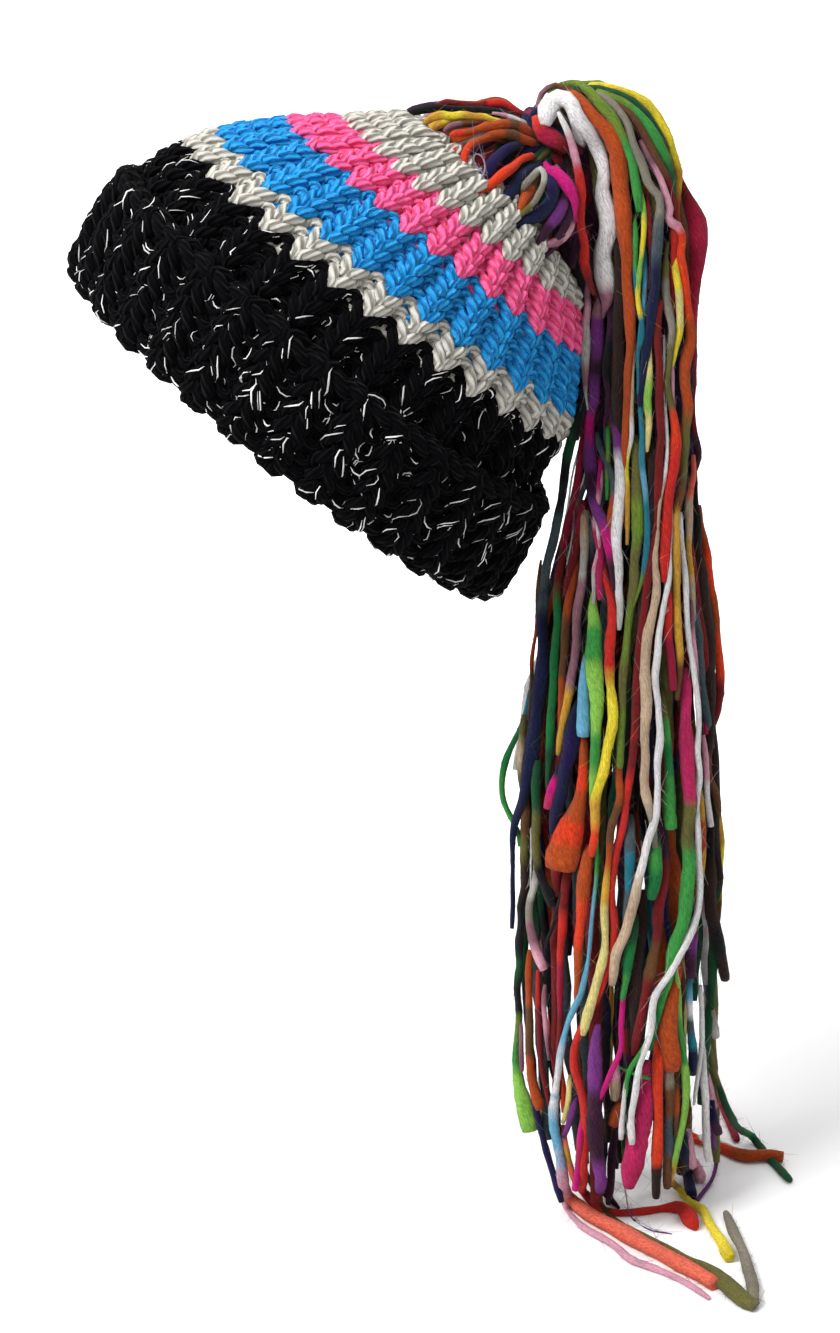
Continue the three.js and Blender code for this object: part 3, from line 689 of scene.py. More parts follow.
CROWN_STRANDS = [
    # colours, depth at the knit and at the tie (mm), then position and width of each point (px)
    ("black", -8, -4, "405,116,4 410,113,6 419,111,8 429,109,9 438,108,9 448,109,8 467,110,8 "
     "486,112,9 500,113,9 512,117,8 525,124,6"),
    ("dark_red dark_red dark_red red red dark_red", -4, -1,
     "436,106,3 440,104,4 446,103,6 457,104,6 470,105,6 477,105,6 486,104,9 496,103,10 503,104,9 "
     "509,107,8 516,111,6 524,115,5 534,121,4"),
    ("light_pink white light_pink", -9, -6, "492,113,3 504,115,4 513,118,5 522,122,5 530,126,5 "
     "538,131,4"),
    ("gold yellow gold yellow gold", -17, -9,
     "424,124,5 427,121,7 433,118,10 441,116,10 452,117,10 462,116,9 474,118,9 483,118,9 "
     "491,120,8 500,122,6 520,127,4"),
    ("gold yellow gold", -20, -10, "427,135,4 428,133,6 432,128,9 441,124,8 450,121,6 458,119,4 "
     "475,120,3"),
    ("mauve brown dark_red brown", -22, -8, "444,131,4 449,127,5 457,125,6 468,124,6 480,124,6 "
     "491,123,5 505,124,4"),
    ("orange_red burnt_orange burnt_orange burnt_orange brown burnt_orange brown", -27, -12,
     "450,136,5 454,134,7 463,133,8 473,131,7 482,128,8 488,126,10 496,126,11 502,125,12 "
     "513,126,12 524,130,11 533,136,8 540,142,6"),
    ("burnt_orange brown burnt_orange brown", -25, -10,
     "484,136,6 498,134,9 510,135,10 522,139,10 534,143,8 542,147,6"),
    ("orange_red orange_red burnt_orange burnt_orange brown burnt_orange brown", -34, -13,
     "466,178,5 465,173,6 464,168,7 464,161,7 466,152,8 472,144,9 481,140,8 492,137,8 502,140,7 "
     "513,141,8 528,140,8 540,146,6"),
    ("orange_red dark_red", -30, -15, "450,156,4 454,151,5 459,148,7 466,146,6 476,142,4"),
    ("indigo indigo indigo navy navy", -37, -13, "472,191,6 477,186,8 483,181,11 489,171,12 "
     "494,162,12 501,154,11 511,147,10 518,146,8 524,148,6 535,150,5"),
    ("orange_red", -41, -19, "475,196,3 479,192,5 486,188,8 493,183,9 501,176,9 508,170,9 "
     "514,166,9 521,160,9 528,157,8 533,156,6"),
    ("burnt_orange brown", -36, -13, "490,198,6 497,185,7 505,172,7 513,162,7 524,155,6"),
    ("navy", -38, -15, "493,215,6 498,208,9 506,199,13 513,189,13 521,177,13 529,170,10 "
     "536,166,8 542,160,6"),
    ("navy black", -35, -12, "484,201,6 494,192,8 504,184,8 514,174,8 526,164,7 538,156,6"),
    ("burnt_orange brown", -37, -14, "520,217,8 523,205,10 526,197,12 530,190,9 536,180,7 "
     "543,166,6"),
    ("navy navy indigo navy", -39, -16, "509,229,7 515,226,10 524,222,12 536,216,13 546,208,13 "
     "552,197,12 552,185,10 549,177,8 547,170,6 547,160,5"),
    ("plum purple plum mauve", -37, -14, "536,249,6 541,240,9 547,228,11 557,215,12 563,203,12 "
     "566,193,9 562,180,7 556,166,6"),
    ("plum black", -35, -13, "543,256,7 556,242,9 566,222,9 569,204,8 566,186,7 558,168,6"),
    ("mauve light_pink mauve", -37, -20, "540,248,4 545,245,6 554,243,10 563,236,11 570,228,8 "
     "573,218,5 571,206,4"),
    ("magenta", -29, -20, "576,222,3 575,212,5 575,203,8 570,191,12 563,180,13 554,172,11 "
     "548,169,7 545,162,5"),
    ("dark_red plum dark_red", -11, -10, "576,196,7 569,178,11 562,166,13 554,157,13 "
     "546,149,10"),
    ("dark_red crimson", -9, -9, "583,190,6 576,172,9 569,160,11 560,150,11 551,143,9"),
    ("plum black", -20, -13, "571,268,7 577,246,8 580,224,8 578,200,8 572,180,7"),
]
CROWN_LOOPS = [
    # the same columns; these two turn back before the tie, and only on the near side
    ("lilac", -38, -37, "481,178,1.3 484,173,1.3 485,167,1.3 484,161,1.3 480,155,1.3 "
     "476,154,1.3 474,158,1.3 476,165,1.3 481,171,1.3 486,176,1.3"),
    ("khaki taupe grey taupe khaki", -39, -30, "517,219,4 524,212,6 534,202,6 539,193,6 "
     "543,184,6 544,174,5 541,169,6 532,177,8 525,185,7 519,196,5 514,206,4"),
]
INNER_CROWN = np.array([
    # height, front, back, sag to the back, width over length: the strands' under-layer
    (116.0, 34.0, 48.0, 8.0, 0.90),
    (122.0, 27.0, 41.0, 8.0, 0.90),
    (127.5, 22.0, 36.0, 6.0, 0.93),
    (134.0, 16.5, 29.0, 3.0, 0.95),
    (140.0, 9.0, 24.0, 1.0, 0.98),
    (147.0, -1.0, 20.0, 0.0, 1.0),
])
INNER_STRANDS = 44
CROWN_FIBRES = 1500
# Real wool colours, all dark, given to the under-layer and to the strands out of sight: painted
# shade between and under the strands.
DARK_COLOURS_FOR_SHADE = ("dark_brown plum dark_red navy black brown burnt_orange indigo slate khaki "
               "dark_green").split()


def drawn_up(across, down, at_knit, at_tie, mirror):
    """Points of one crown strand, whose depth goes from the knit's edge to the tie along a
    quarter cosine, on the near side, or mirrored on the far side."""
    part = np.linspace(0, 1, len(across))
    depth = at_tie + (at_knit - at_tie) * np.cos(part * math.pi / 2)
    points = seen_at(across, down, depth * MM)
    points[:, 1] *= mirror
    return points


def under_layer(turn):
    """Points of one inner strand: straight up the oval dome under the charted strands."""
    height, front, back, sag, broad = INNER_CROWN.T
    half = (front + back) / 2
    across = (back - front) / 2 + half * math.cos(turn)
    return from_hat(across, half * broad * math.sin(turn),
                    height - sag * np.maximum(0, across / back) ** 2)


wool_dice = np.random.default_rng(23)
felt = felted_wool()
crown_parts = []
for i in range(INNER_STRANDS):
    points = under_layer(2 * math.pi * (i + wool_dice.uniform(-0.15, 0.15)) / INNER_STRANDS)
    # Under-layer strands take dark colours only: painted shade under the crown loops.
    words = " ".join(DARK_COLOURS_FOR_SHADE[k] for k in wool_dice.integers(0, len(DARK_COLOURS_FOR_SHADE), 2))
    radii = np.linspace(3.3, 1.5, len(points))
    crown_parts.append(wool_strand(points, radii, even_shades(words), wool_dice, wander=0.6))
for mirror, rows in ((1, CROWN_STRANDS + CROWN_LOOPS), (-1, CROWN_STRANDS)):
    names = [row[0] for row in rows]
    if mirror < 0:
        names = [names[i] for i in wool_dice.permutation(len(names))]
    for (_, at_knit, at_tie, chart), colours in zip(rows, names):
        across, down, radii = charted(chart)
        points = drawn_up(across, down, at_knit, at_tie, mirror)
        crown_parts.append(wool_strand(points, radii, even_shades(colours), wool_dice,
                                       wander=0.25, uneven=0.1, step=STRAND_STEP / 2))
crown_parts.append(loose_fibres(crown_parts, CROWN_FIBRES, wool_dice))
crown = yarn_object("crown_strands", crown_parts, felt)
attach(crown, "root")
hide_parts("crown_loops")


# Tie. A navy and a crimson strand of the same wool, wound about twice round the gathered
# strands and tucked in. The two ends that show in front are charted.
TIE_MIDDLE = (12.0, 149.9)
TIE_FIBRES = 150


def wound(turns, radius, rise, start):
    """A slack coil round the hat's axis: it rises evenly along the axis as it goes round."""
    turn = np.radians(start) + np.linspace(0, turns * 2 * math.pi, int(turns * 14))
    lift = np.linspace(-rise / 2, rise / 2, len(turn))
    return from_hat(TIE_MIDDLE[0] + radius * np.cos(turn), radius * np.sin(turn),
                    TIE_MIDDLE[1] + lift)


TIE_STRANDS = [
    # turns, radius of the coil, rise along the axis, start (degrees), thickness, colours
    (2.1, 12.4, 4.5, 30, 2.2, "navy"),
    (1.6, 12.7, 5.5, 250, 2.2, "dark_red plum crimson dark_red navy"),
]
TIE_ENDS = [
    # colours, depth at both ends (mm), then position and width of each point (px)
    ("navy", -9, -14, "540,108,5 535,113,8 531,118,9 532,127,8 536,135,7 542,143,5"),
    ("orange_red crimson crimson crimson dark_red", -14, -18,
     "534,116,8 538,124,13 545,134,18 553,139,17 560,143,14 568,151,9"),
]
tie_parts = []
for turns, radius, rise, start, thick, words in TIE_STRANDS:
    points = wound(turns, radius, rise, start)
    tie_parts.append(wool_strand(points, np.full(len(points), thick), even_shades(words),
                                 wool_dice, wander=0.3))
for words, first, last, chart in TIE_ENDS:
    across, down, radii = charted(chart)
    points = seen_at(across, down, np.linspace(first, last, len(across)) * MM)
    tie_parts.append(wool_strand(points, radii, even_shades(words), wool_dice, wander=0.2))
tie_parts.append(loose_fibres(tie_parts, TIE_FIBRES, wool_dice))
tie = yarn_object("tie_strands", tie_parts, felt)
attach(tie, "root")
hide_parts("tie_wrap")


# Ponytail. The free ends of all the strands, about ninety of them, arch over behind the tie and
# hang down side by side. The ones in front are charted; the rest fill the bundle behind them.
BUNDLE = np.array([
    # inner x, inner z, outer x, outer z, half the depth (mm), from the tie to the table
    (112.3, 102.7, 93.5, 117.7, 12.0),
    (114.5, 106.0, 101.5, 126.0, 13.0),
    (116.0, 105.5, 111.0, 128.6, 14.0),
    (116.4, 104.0, 122.0, 128.4, 15.0),
    (116.6, 101.6, 132.0, 124.6, 16.0),
    (116.6, 99.0, 140.5, 118.0, 16.5),
    (116.6, 94.5, 147.0, 108.0, 17.5),
    (116.6, 87.0, 151.5, 94.5, 18.5),
    (116.6, 75.0, 156.5, 79.0, 20.0),
    (116.8, 58.0, 160.5, 60.0, 21.0),
    (117.0, 22.0, 161.0, 22.0, 21.5),
    (117.0, -12.0, 160.0, -12.0, 22.5),
    (112.0, -34.0, 162.0, -34.0, 24.0),
    (101.0, -72.0, 167.0, -72.0, 28.0),
    (93.0, -110.0, 171.0, -110.0, 31.0),
    (87.5, -151.0, 174.0, -151.0, 33.0),
    (89.5, -212.0, 178.0, -212.0, 34.0),
    (93.0, -288.0, 178.0, -288.0, 35.0),
    (96.0, -329.0, 180.0, -329.0, 36.0),
])
BUNDLE_STEPS = 400
FILL_STRANDS = 92
FILL_STEP = 0.007
FILL_REACH = 18.0
FILL_SHORTER = 4.0
FILL_CLEARS_TABLE = 0.004
GOLDEN_SHARE = 0.618034
NEAR_SHARE = 0.74
TUCK_SHARE = 0.15
TUCK_PART = 0.3
BELOW_CROWN = 130
FILL_FIBRES = 1400
CHARTED_FIBRES = 4000
stations = np.arange(len(BUNDLE))


def in_bundle(at, u, v):
    """World metres of places in the bundle: at counts along its stations, u goes from its inner
    edge (-1) to its outer edge (1), and v from the camera's side (-1) to the far side (1)."""
    row = eased(stations, BUNDLE, at)
    middle = (row[..., 0:2] + row[..., 2:4]) / 2
    half = (row[..., 2:4] - row[..., 0:2]) / 2
    flat = middle + half * u[..., None]
    return np.stack([flat[..., 0], row[..., 4] * v, flat[..., 1]], -1) * MM


bundle_at = np.linspace(0, len(BUNDLE) - 1, BUNDLE_STEPS)
level = np.zeros(BUNDLE_STEPS)
bundle_middle = in_bundle(bundle_at, level, level)
bundle_outer = in_bundle(bundle_at, level + 1, level)
bundle_deep = eased(stations, BUNDLE[:, 4], bundle_at) * MM


def on_bundle(across, down, layer):
    """Points of a charted strand on the near face of the bundle: the camera's ray is cut at the
    depth that an oval section has there, found again three times. The layer, one for all points
    or one for each, scales that depth."""
    depth = np.full(len(across), -0.02)
    for _ in range(3):
        points = seen_at(across, down, depth)
        middle, half = bundle_middle, bundle_outer - bundle_middle
        offset = points[:, None] - middle[None]
        offset[..., 1] = 0
        share = np.clip((offset * half).sum(-1) / (half * half).sum(-1), -1, 1)
        miss = np.linalg.norm(offset - share[..., None] * half, axis=-1)
        best = miss.argmin(1)
        share = share[np.arange(len(best)), best]
        depth = -bundle_deep[best] * np.sqrt(np.clip(1 - share ** 2, 0.04, 1)) * layer
    return points


CHARTED_STRANDS = [
    # colours in order, layer, then picture position and width of each point, in pixels
    ("mauve brown taupe", 0.95, "537,116,4 538,105,6 544,90,7 552,86,6 567,90,7 579,100,8 "
     "592,112,7 603,128,6"),
    ("white white white white white white white mauve", (1.7, 1.3, 1.1, 1.08, 1.08),
     "546,124,13 547,116,20 550,106,22 557,99,19 566,99,17 574,108,15 577,118,15 585,128,15 "
     "595,144,15 604,174,14 603,190,14 609,216,17 609,231,18 602,253,20 604,273,19 607,290,17 "
     "607,300,12 605,310,6 603,318,2"),
    ("mauve purple plum purple magenta purple plum purple magenta plum", 1.06,
     "603,290,6 600,302,11 598,314,13 598,338,14 597,350,14 594,371,14 594,396,13 590,417,10 "
     "590,437,11 590,451,14 591,472,14 593,497,12 601,518,11 607,540,10 612,565,8 614,590,5"),
    ("white mauve plum plum plum plum", (1.35, 1.15, 1.02, 1.02),
     "572,118,6 579,136,9 585,151,10 589,162,11 592,180,13 590,200,13 592,218,13 592,236,11 "
     "594,262,8 600,290,7 608,315,7"),
    ("burnt_orange", 1.0,
     "566,94,10 576,98,12 585,107,14 595,118,15 608,131,16 617,148,17 620,172,18 621,199,18 "
     "624,227,15 628,255,13 626,282,12 630,310,12 631,340,9 627,371,8 627,401,8 626,432,8 "
     "624,470,7"),
    ("olive olive olive green green", 1.02,
     "548,94,6 560,87,8 572,84,10 587,90,10 600,105,10 613,118,10 622,133,9 630,157,9 635,181,8 "
     "638,199,8 639,212,7"),
    ("yellow yellow yellow yellow gold burnt_orange", 0.62,
     "585,90,8 593,87,9 609,88,9 630,94,9 645,103,10 659,120,10 669,138,10 674,157,9 678,174,8 "
     "678,188,6 677,209,6 679,230,5"),
    ("olive green green dark_green", 0.9,
     "596,92,8 604,96,9 622,103,10 635,112,11 648,125,11 659,144,10 666,159,9 671,177,8 "
     "674,200,5"),
    ("brown brown dark_red red dark_red", 0.88,
     "600,100,8 618,106,8 628,112,8 641,129,8 650,146,8 659,164,8 669,183,8 673,205,7 674,236,7 "
     "673,264,7 672,301,7 672,330,6"),
    ("taupe taupe taupe taupe slate navy navy navy navy", 1.0,
     "592,94,7 604,98,8 619,112,8 628,125,8 633,144,8 643,166,8 650,185,9 659,197,9 659,210,9 "
     "657,227,10 657,247,10 656,266,10 656,288,10 652,310,10 648,335,9 644,366,8 641,391,8 "
     "640,410,6"),
    ("mauve light_pink light_pink orange_red orange_red orange_red burnt_orange burnt_orange "
     "burnt_orange khaki khaki brown", 1.0,
     "640,140,5 648,157,6 659,177,7 667,196,7 670,210,8 668,220,9 676,225,9 682,236,9 681,255,9 "
     "683,273,9 685,292,9 689,316,10 690,338,11 686,361,12 686,386,12 687,406,11 685,427,10 "
     "685,450,9 683,472,8 681,489,9 675,514,8"),
    ("dark_red crimson crimson crimson crimson dark_red plum", 0.72,
     "674,160,2 681,178,3 685,190,9 689,204,15 694,218,20 697,245,22 695,273,15 692,301,13 "
     "694,329,7 695,345,4 694,361,4 695,381,4 693,401,4 694,432,6 698,455,8 694,472,8"),
    ("yellow pale_yellow yellow", 1.0,
     "675,250,4 676,270,7 678,283,8 679,310,8 679,335,7 676,350,5 673,366,3"),
    ("khaki taupe taupe khaki khaki orange_red red red red red", 0.98,
     "668,242,4 666,255,4 666,264,7 665,283,8 667,307,8 672,329,8 671,345,7 670,366,6 667,381,6 "
     "669,396,7 672,412,7 675,432,11 674,462,12 668,493,12 666,525,11 665,556,12 664,582,10"),
    ("lime yellow lime yellow teal", 1.04,
     "641,190,3 643,203,5 644,227,5 642,255,5 639,277,5 638,301,5 641,320,5 643,335,4 639,350,3"),
    ("green green teal", 1.0, "634,215,4 635,227,5 636,255,5 635,273,5 637,300,4"),
    ("teal light_blue teal teal teal teal light_blue teal teal olive", 1.01,
     "643,240,5 644,264,6 644,292,6 643,320,6 641,335,5 639,350,4 638,371,3 640,417,5 643,437,6 "
     "643,462,6 645,493,6 647,525,6 645,560,6 641,584,4 633,607,3"),
    ("dark_red plum", 0.96, "646,195,5 648,210,6 650,236,6 652,262,6 650,290,5"),
    ("dark_brown", 0.96,
     "616,225,8 619,246,11 620,292,12 619,329,11 620,358,12 617,385,13 618,415,10 620,440,8"),
    ("plum black plum", 0.99,
     "606,290,6 611,310,9 609,347,9 606,365,7 609,401,6 607,412,5 604,427,4"),
    ("mauve light_pink grey grey mauve grey", 2.8,
     "588,280,4 587,292,6 588,307,7 585,323,9 584,340,12 584,361,9 585,376,6 586,396,3 "
     "588,410,2"),
    ("plum purple white white white white white grey", 1.03,
     "609,398,4 610,405,6 613,420,6 617,432,8 618,457,9 620,485,11 618,514,12 616,540,11 "
     "618,565,10 619,584,8 620,609,7 619,630,5"),
    ("taupe beige beige white yellow gold gold", 1.0,
     "634,320,3 635,340,3 633,381,3 632,412,4 631,437,5 627,457,5 627,493,5 628,520,5 "
     "627,545,4"),
    ("pale_yellow lime pale_yellow", 1.03,
     "651,345,2 650,355,4 649,381,7 648,401,8 649,422,7 648,437,6 647,452,3"),
    ("white white white beige beige beige beige beige beige beige taupe", 1.02,
     "664,335,3 664,350,3 664,376,3 665,406,3 666,427,4 667,447,4 664,476,4 660,500,4 658,527,5 "
     "655,560,7 656,582,8 652,615,9 647,640,11 645,672,12 646,704,11 645,735,10 645,758,9 "
     "644,778,9 649,807,9 654,836,7 656,858,5"),
    ("light_pink light_pink light_pink white white white white white white beige beige", 1.06,
     "672,362,4 673,391,4 674,430,3 672,490,3 670,548,4 668,588,5 662,615,6 658,640,7 656,672,7 "
     "658,704,7 659,735,7 658,778,7 655,816,7 649,840,8 641,870,9 633,903,10 626,931,11 "
     "618,950,11 612,985,8"),
    ("black dark_green black slate slate navy navy navy navy navy navy navy", 0.75,
     "586,356,7 583,380,9 578,405,11 573,428,11 569,450,10 565,474,9 561,504,9 553,540,10 "
     "546,567,10 544,598,11 543,630,12 542,662,15 540,693,15 536,725,15 531,755,16 527,778,14 "
     "522,801,10 516,820,8 513,845,6 512,874,5 513,903,5 512,928,6"),
    ("white", 0.8, "580,440,2 579,447,2 574,466,2 567,508,2 561,544,2"),
    ("dark_red crimson crimson dark_red emerald emerald emerald dark_green", 0.85,
     "589,396,6 586,422,8 582,450,8 578,478,8 569,520,9 563,556,9 558,582,9 557,615,9 556,640,9 "
     "555,672,9 551,714,9 549,740,8 549,763,8 548,790,6"),
    ("white light_pink white", 0.88, "588,460,2 584,478,2 574,510,2 573,531,2 567,565,2"),
    ("crimson dark_red dark_red", 0.86,
     "584,500,8 580,523,9 574,556,9 569,577,9 565,596,7"),
    ("beige grey mauve mauve mauve gold gold", 0.92,
     "585,510,8 584,531,9 584,560,9 582,586,9 578,609,9 576,640,9 572,672,9 569,695,9 565,714,9 "
     "561,735,8 558,755,5"),
    ("burnt_orange brown burnt_orange", 0.84,
     "578,560,7 574,582,9 567,609,9 565,640,9 563,672,9 562,700,7 560,730,6"),
    ("magenta light_pink raspberry raspberry", 1.0,
     "601,455,4 600,478,6 598,500,6 595,520,6 598,540,7 601,556,8 599,577,9 600,600,7"),
    ("light_pink white light_pink grey", 1.02,
     "602,470,3 601,485,4 597,515,4 599,548,5 595,569,5 594,586,5 594,604,4"),
    ("slate slate slate burnt_orange burnt_orange", 1.02,
     "597,432,5 599,445,6 607,462,6 613,478,7 614,493,9 611,518,9 606,540,7"),
    ("green olive green", 0.98, "608,425,4 608,436,5 608,472,5 607,500,4"),
    ("khaki olive khaki olive khaki olive", 0.98,
     "634,435,8 637,455,12 637,493,12 637,525,12 635,556,11 635,582,9 630,609,8 626,640,8 "
     "624,672,8 622,704,8 621,735,8 620,768,7"),
    ("dark_brown", 0.95, "652,440,7 652,451,8 651,493,8 649,535,8 645,570,7 640,620,7"),
    ("khaki brown gold gold gold gold brown", 1.0,
     "684,425,8 685,436,10 683,462,10 681,489,9 676,514,8 676,531,8 675,560,8 677,588,8 "
     "678,620,8 679,651,8 679,672,7 677,700,5"),
    ("red crimson", 0.99, "668,585,7 668,598,9 668,630,9 671,662,9 673,690,9"),
    ("salmon beige gold beige", 0.9,
     "693,455,6 694,472,7 689,493,8 689,535,7 690,567,7 693,598,6 694,620,4"),
    ("white", 1.08,
     "680,512,5 680,520,6 682,546,6 686,577,6 686,609,6 689,640,6 694,672,6 698,704,6 699,735,6 "
     "697,750,7 699,778,7 697,807,7 698,845,7 700,883,7 698,908,8 687,941,8 672,970,8 656,994,7 "
     "651,1027,7 642,1059,7 636,1089,7 631,1119,7 632,1144,8"),
    ("mauve light_pink mauve", 1.03, "691,600,4 692,615,5 693,640,6 696,672,6 699,700,4"),
    ("raspberry raspberry raspberry khaki green green green green emerald", 1.02,
     "685,668,8 686,683,11 685,714,12 687,750,15 689,778,15 690,807,14 687,832,13 689,864,14 "
     "687,893,15 683,922,14 674,950,12 668,979,10 656,1018,8 650,1050,6"),
    ("black dark_brown dark_brown dark_brown brown", 0.7,
     "694,465,5 695,476,6 696,514,7 698,548,10 700,577,15 704,609,16 708,640,15 708,672,15 "
     "710,704,12 710,729,9 708,758,8 711,778,7 716,797,8 719,816,6"),
    ("burnt_orange orange_red burnt_orange orange_red dark_red", 0.5,
     "699,505,5 700,520,7 705,544,8 709,575,11 713,609,10 717,640,9 720,672,10 717,705,11 "
     "714,725,6"),
    ("dark_brown gold yellow gold brown", 0.45,
     "714,790,6 719,816,7 721,836,7 720,864,6 720,893,6 717,925,5"),
    ("black dark_brown dark_brown black dark_brown", 0.75,
     "711,822,8 711,828,8 711,855,9 710,883,15 711,912,15 716,931,13 720,950,12 725,979,12"),
    ("light_pink white", 0.95, "703,735,5 705,750,6 707,778,6 708,807,6 711,826,7"),
    ("gold burnt_orange gold", 0.95, "701,790,5 701,803,7 702,826,7 703,855,7 701,880,5"),
    ("light_blue", 1.03, "586,655,7 584,683,10 584,708,13 583,736,16"),
    ("navy indigo navy navy", 0.96,
     "580,700,10 574,720,13 571,745,17 565,769,16 562,785,13 557,807,12 553,833,10"),
    ("navy magenta raspberry", 1.0, "562,765,10 553,786,11 548,808,11"),
    ("burnt_orange orange_red burnt_orange orange_red burnt_orange", 1.0,
     "584,735,10 584,752,10 583,778,11 578,803,14 573,822,23 568,840,33 563,856,40 560,868,42"),
    ("burnt_orange orange_red burnt_orange", 0.98,
     "590,845,12 587,864,15 582,893,13 580,931,11 578,970,8 576,1000,6"),
    ("lime green lime lime green lime", 1.05,
     "594,590,5 593,605,8 595,630,15 593,657,19 594,678,18 597,700,14 597,720,12 595,758,10 "
     "593,778,8 591,800,4"),
    ("red red red red yellow yellow yellow yellow gold orange_red", 1.04,
     "601,552,5 603,567,7 609,590,8 612,620,10 610,651,10 610,676,10 612,700,10 612,725,10 "
     "607,750,11 603,774,11 596,797,11 595,816,10 594,840,9 591,856,8"),
    ("teal emerald green green", 0.5,
     "530,690,4 527,710,6 519,731,6 513,744,6 505,763,7 502,782,7 504,803,7 511,818,6 518,832,4 "
     "520,846,6"),
    ("khaki beige khaki", 0.6, "525,715,8 523,731,9 521,758,9 521,775,7 523,795,5"),
    ("brown burnt_orange brown", 0.6,
     "541,560,3 539,577,4 536,620,4 533,662,4 531,693,4 528,720,3"),
    ("dark_green khaki black", 0.85,
     "538,760,9 536,788,11 537,816,10 536,845,9 540,874,9 548,893,11 553,906,12"),
    ("brown khaki dark_brown black black dark_green black olive green lime lime", 0.7,
     "526,800,9 526,813,10 525,845,10 525,874,9 523,903,9 520,931,9 519,960,8 518,989,8 "
     "519,1018,7 517,1040,7 516,1060,9 518,1079,11 524,1103,18 530,1131,22"),
    ("white", 0.8, "531,828,2 531,860,2 531,893,2"),
    ("taupe grey taupe mauve light_pink", 0.9,
     "538,850,6 536,878,8 530,903,8 531,931,9 536,950,11 544,970,11"),
    ("brown burnt_orange brown burnt_orange gold pale_yellow pale_yellow pale_yellow "
     "pale_yellow", 1.02,
     "620,730,8 620,744,8 619,769,8 620,797,8 612,826,8 609,855,7 606,880,7 605,903,8 605,931,8 "
     "603,960,9 595,989,10 588,1014,11 583,1035,7"),
    ("khaki green emerald green green", 0.97,
     "661,690,6 663,704,8 666,735,9 668,763,9 669,790,11 670,812,13 671,828,16"),
    ("slate teal slate", 0.97, "630,815,9 630,832,11 630,874,11 628,903,9 626,925,7"),
    ("dark_green green emerald emerald", 1.0, "657,835,8 655,851,13 655,878,14 651,899,12"),
    ("plum dark_red dark_red brown dark_red dark_red", 0.95,
     "662,820,9 663,840,11 665,874,11 658,912,11 656,941,11 651,970,12 643,1008,12 638,1032,10 "
     "634,1055,8"),
    ("dark_brown", 0.9, "641,890,11 641,941,12 637,970,12 635,1008,12 632,1040,8 630,1070,6"),
    ("dark_green emerald green", 1.0,
     "635,915,10 633,931,11 630,950,11 626,979,8 622,1000,6"),
    ("plum purple plum", 0.95, "694,905,8 693,931,10 691,954,12 691,977,13"),
    ("burnt_orange", 1.0,
     "680,955,8 676,979,12 670,1008,16 668,1030,22 670,1050,24 672,1070,18"),
    ("brown burnt_orange brown", 0.97, "676,1060,8 676,1099,7 676,1139,6"),
    ("teal light_blue white slate teal navy navy", 0.93,
     "689,972,6 689,985,7 689,1000,7 690,1014,6 691,1030,8 693,1050,10 692,1075,9"),
    ("white", 0.9, "700,985,5 702,1026,6 700,1060,5 696,1089,5 694,1105,3"),
    ("white", 0.9, "703,1045,5 704,1069,7 705,1099,8 706,1129,8 708,1161,8"),
    ("slate taupe grey", 0.3, "706,985,5 710,1004,7 714,1027,9 716,1037,10"),
    ("burnt_orange brown burnt_orange", 0.7,
     "530,950,6 529,970,8 529,1008,8 530,1030,9 530,1060,9 534,1089,12 541,1109,12"),
    ("red dark_red dark_red dark_red", 0.75,
     "538,970,5 538,989,6 539,1030,6 541,1060,6 547,1089,6 550,1108,5"),
    ("mauve light_pink mauve", 0.8, "545,985,5 544,998,6 546,1030,5 549,1060,4"),
    ("mauve", 0.7, "520,1018,4 521,1030,5 522,1071,5"),
    ("dark_red red crimson dark_red", 0.9,
     "570,860,8 566,883,10 563,912,10 561,950,8 560,989,7 560,1038,7 558,1060,5"),
    ("black", 0.9, "566,875,4 562,891,4 555,922,4 547,941,4 545,950,3"),
    ("magenta", 1.03,
     "624,985,5 621,1024,6 620,1050,6 611,1075,6 599,1099,6 593,1113,6 588,1125,5"),
    ("magenta raspberry magenta", 1.02, "583,1115,5 581,1129,6 579,1158,7 575,1190,8"),
    ("green", 1.05, "646,1040,3 642,1050,4 628,1075,5 626,1097,4"),
    ("green", 1.06, "620,1068,3 635,1074,4 650,1079,3"),
    ("white", 1.03, "626,1080,4 625,1087,4 622,1119,5 621,1139,7"),
    ("raspberry", 0.98,
     "648,1060,8 646,1085,14 644,1109,22 641,1125,24 638,1139,24 632,1168,23 629,1187,16"),
    ("orange_red orange_red orange_red orange_red dark_brown", 1.0,
     "658,1040,9 658,1060,11 658,1099,11 658,1139,11 656,1178,11 656,1198,10"),
    ("taupe brown slate brown", 0.97,
     "669,1050,8 669,1067,10 669,1109,10 668,1149,10 667,1188,10"),
    ("indigo plum", 0.8, "712,1100,7 713,1115,9 719,1133,10"),
    ("salmon gold salmon", 0.9, "563,1125,5 565,1142,6 569,1162,7 575,1184,6"),
    ("pale_yellow", 0.93, "570,1075,4 569,1085,6 567,1109,6 563,1123,5"),
    ("purple", 0.95, "577,1095,5 575,1103,6 569,1123,6 564,1137,6"),
    ("dark_red plum", 0.9, "626,1030,9 628,1054,10 628,1075,8"),
    ("light_pink beige", 0.85, "616,1060,7 616,1079,10 615,1100,8"),
    ("burnt_orange", 0.85, "622,1100,8 618,1109,12 613,1125,12"),
]
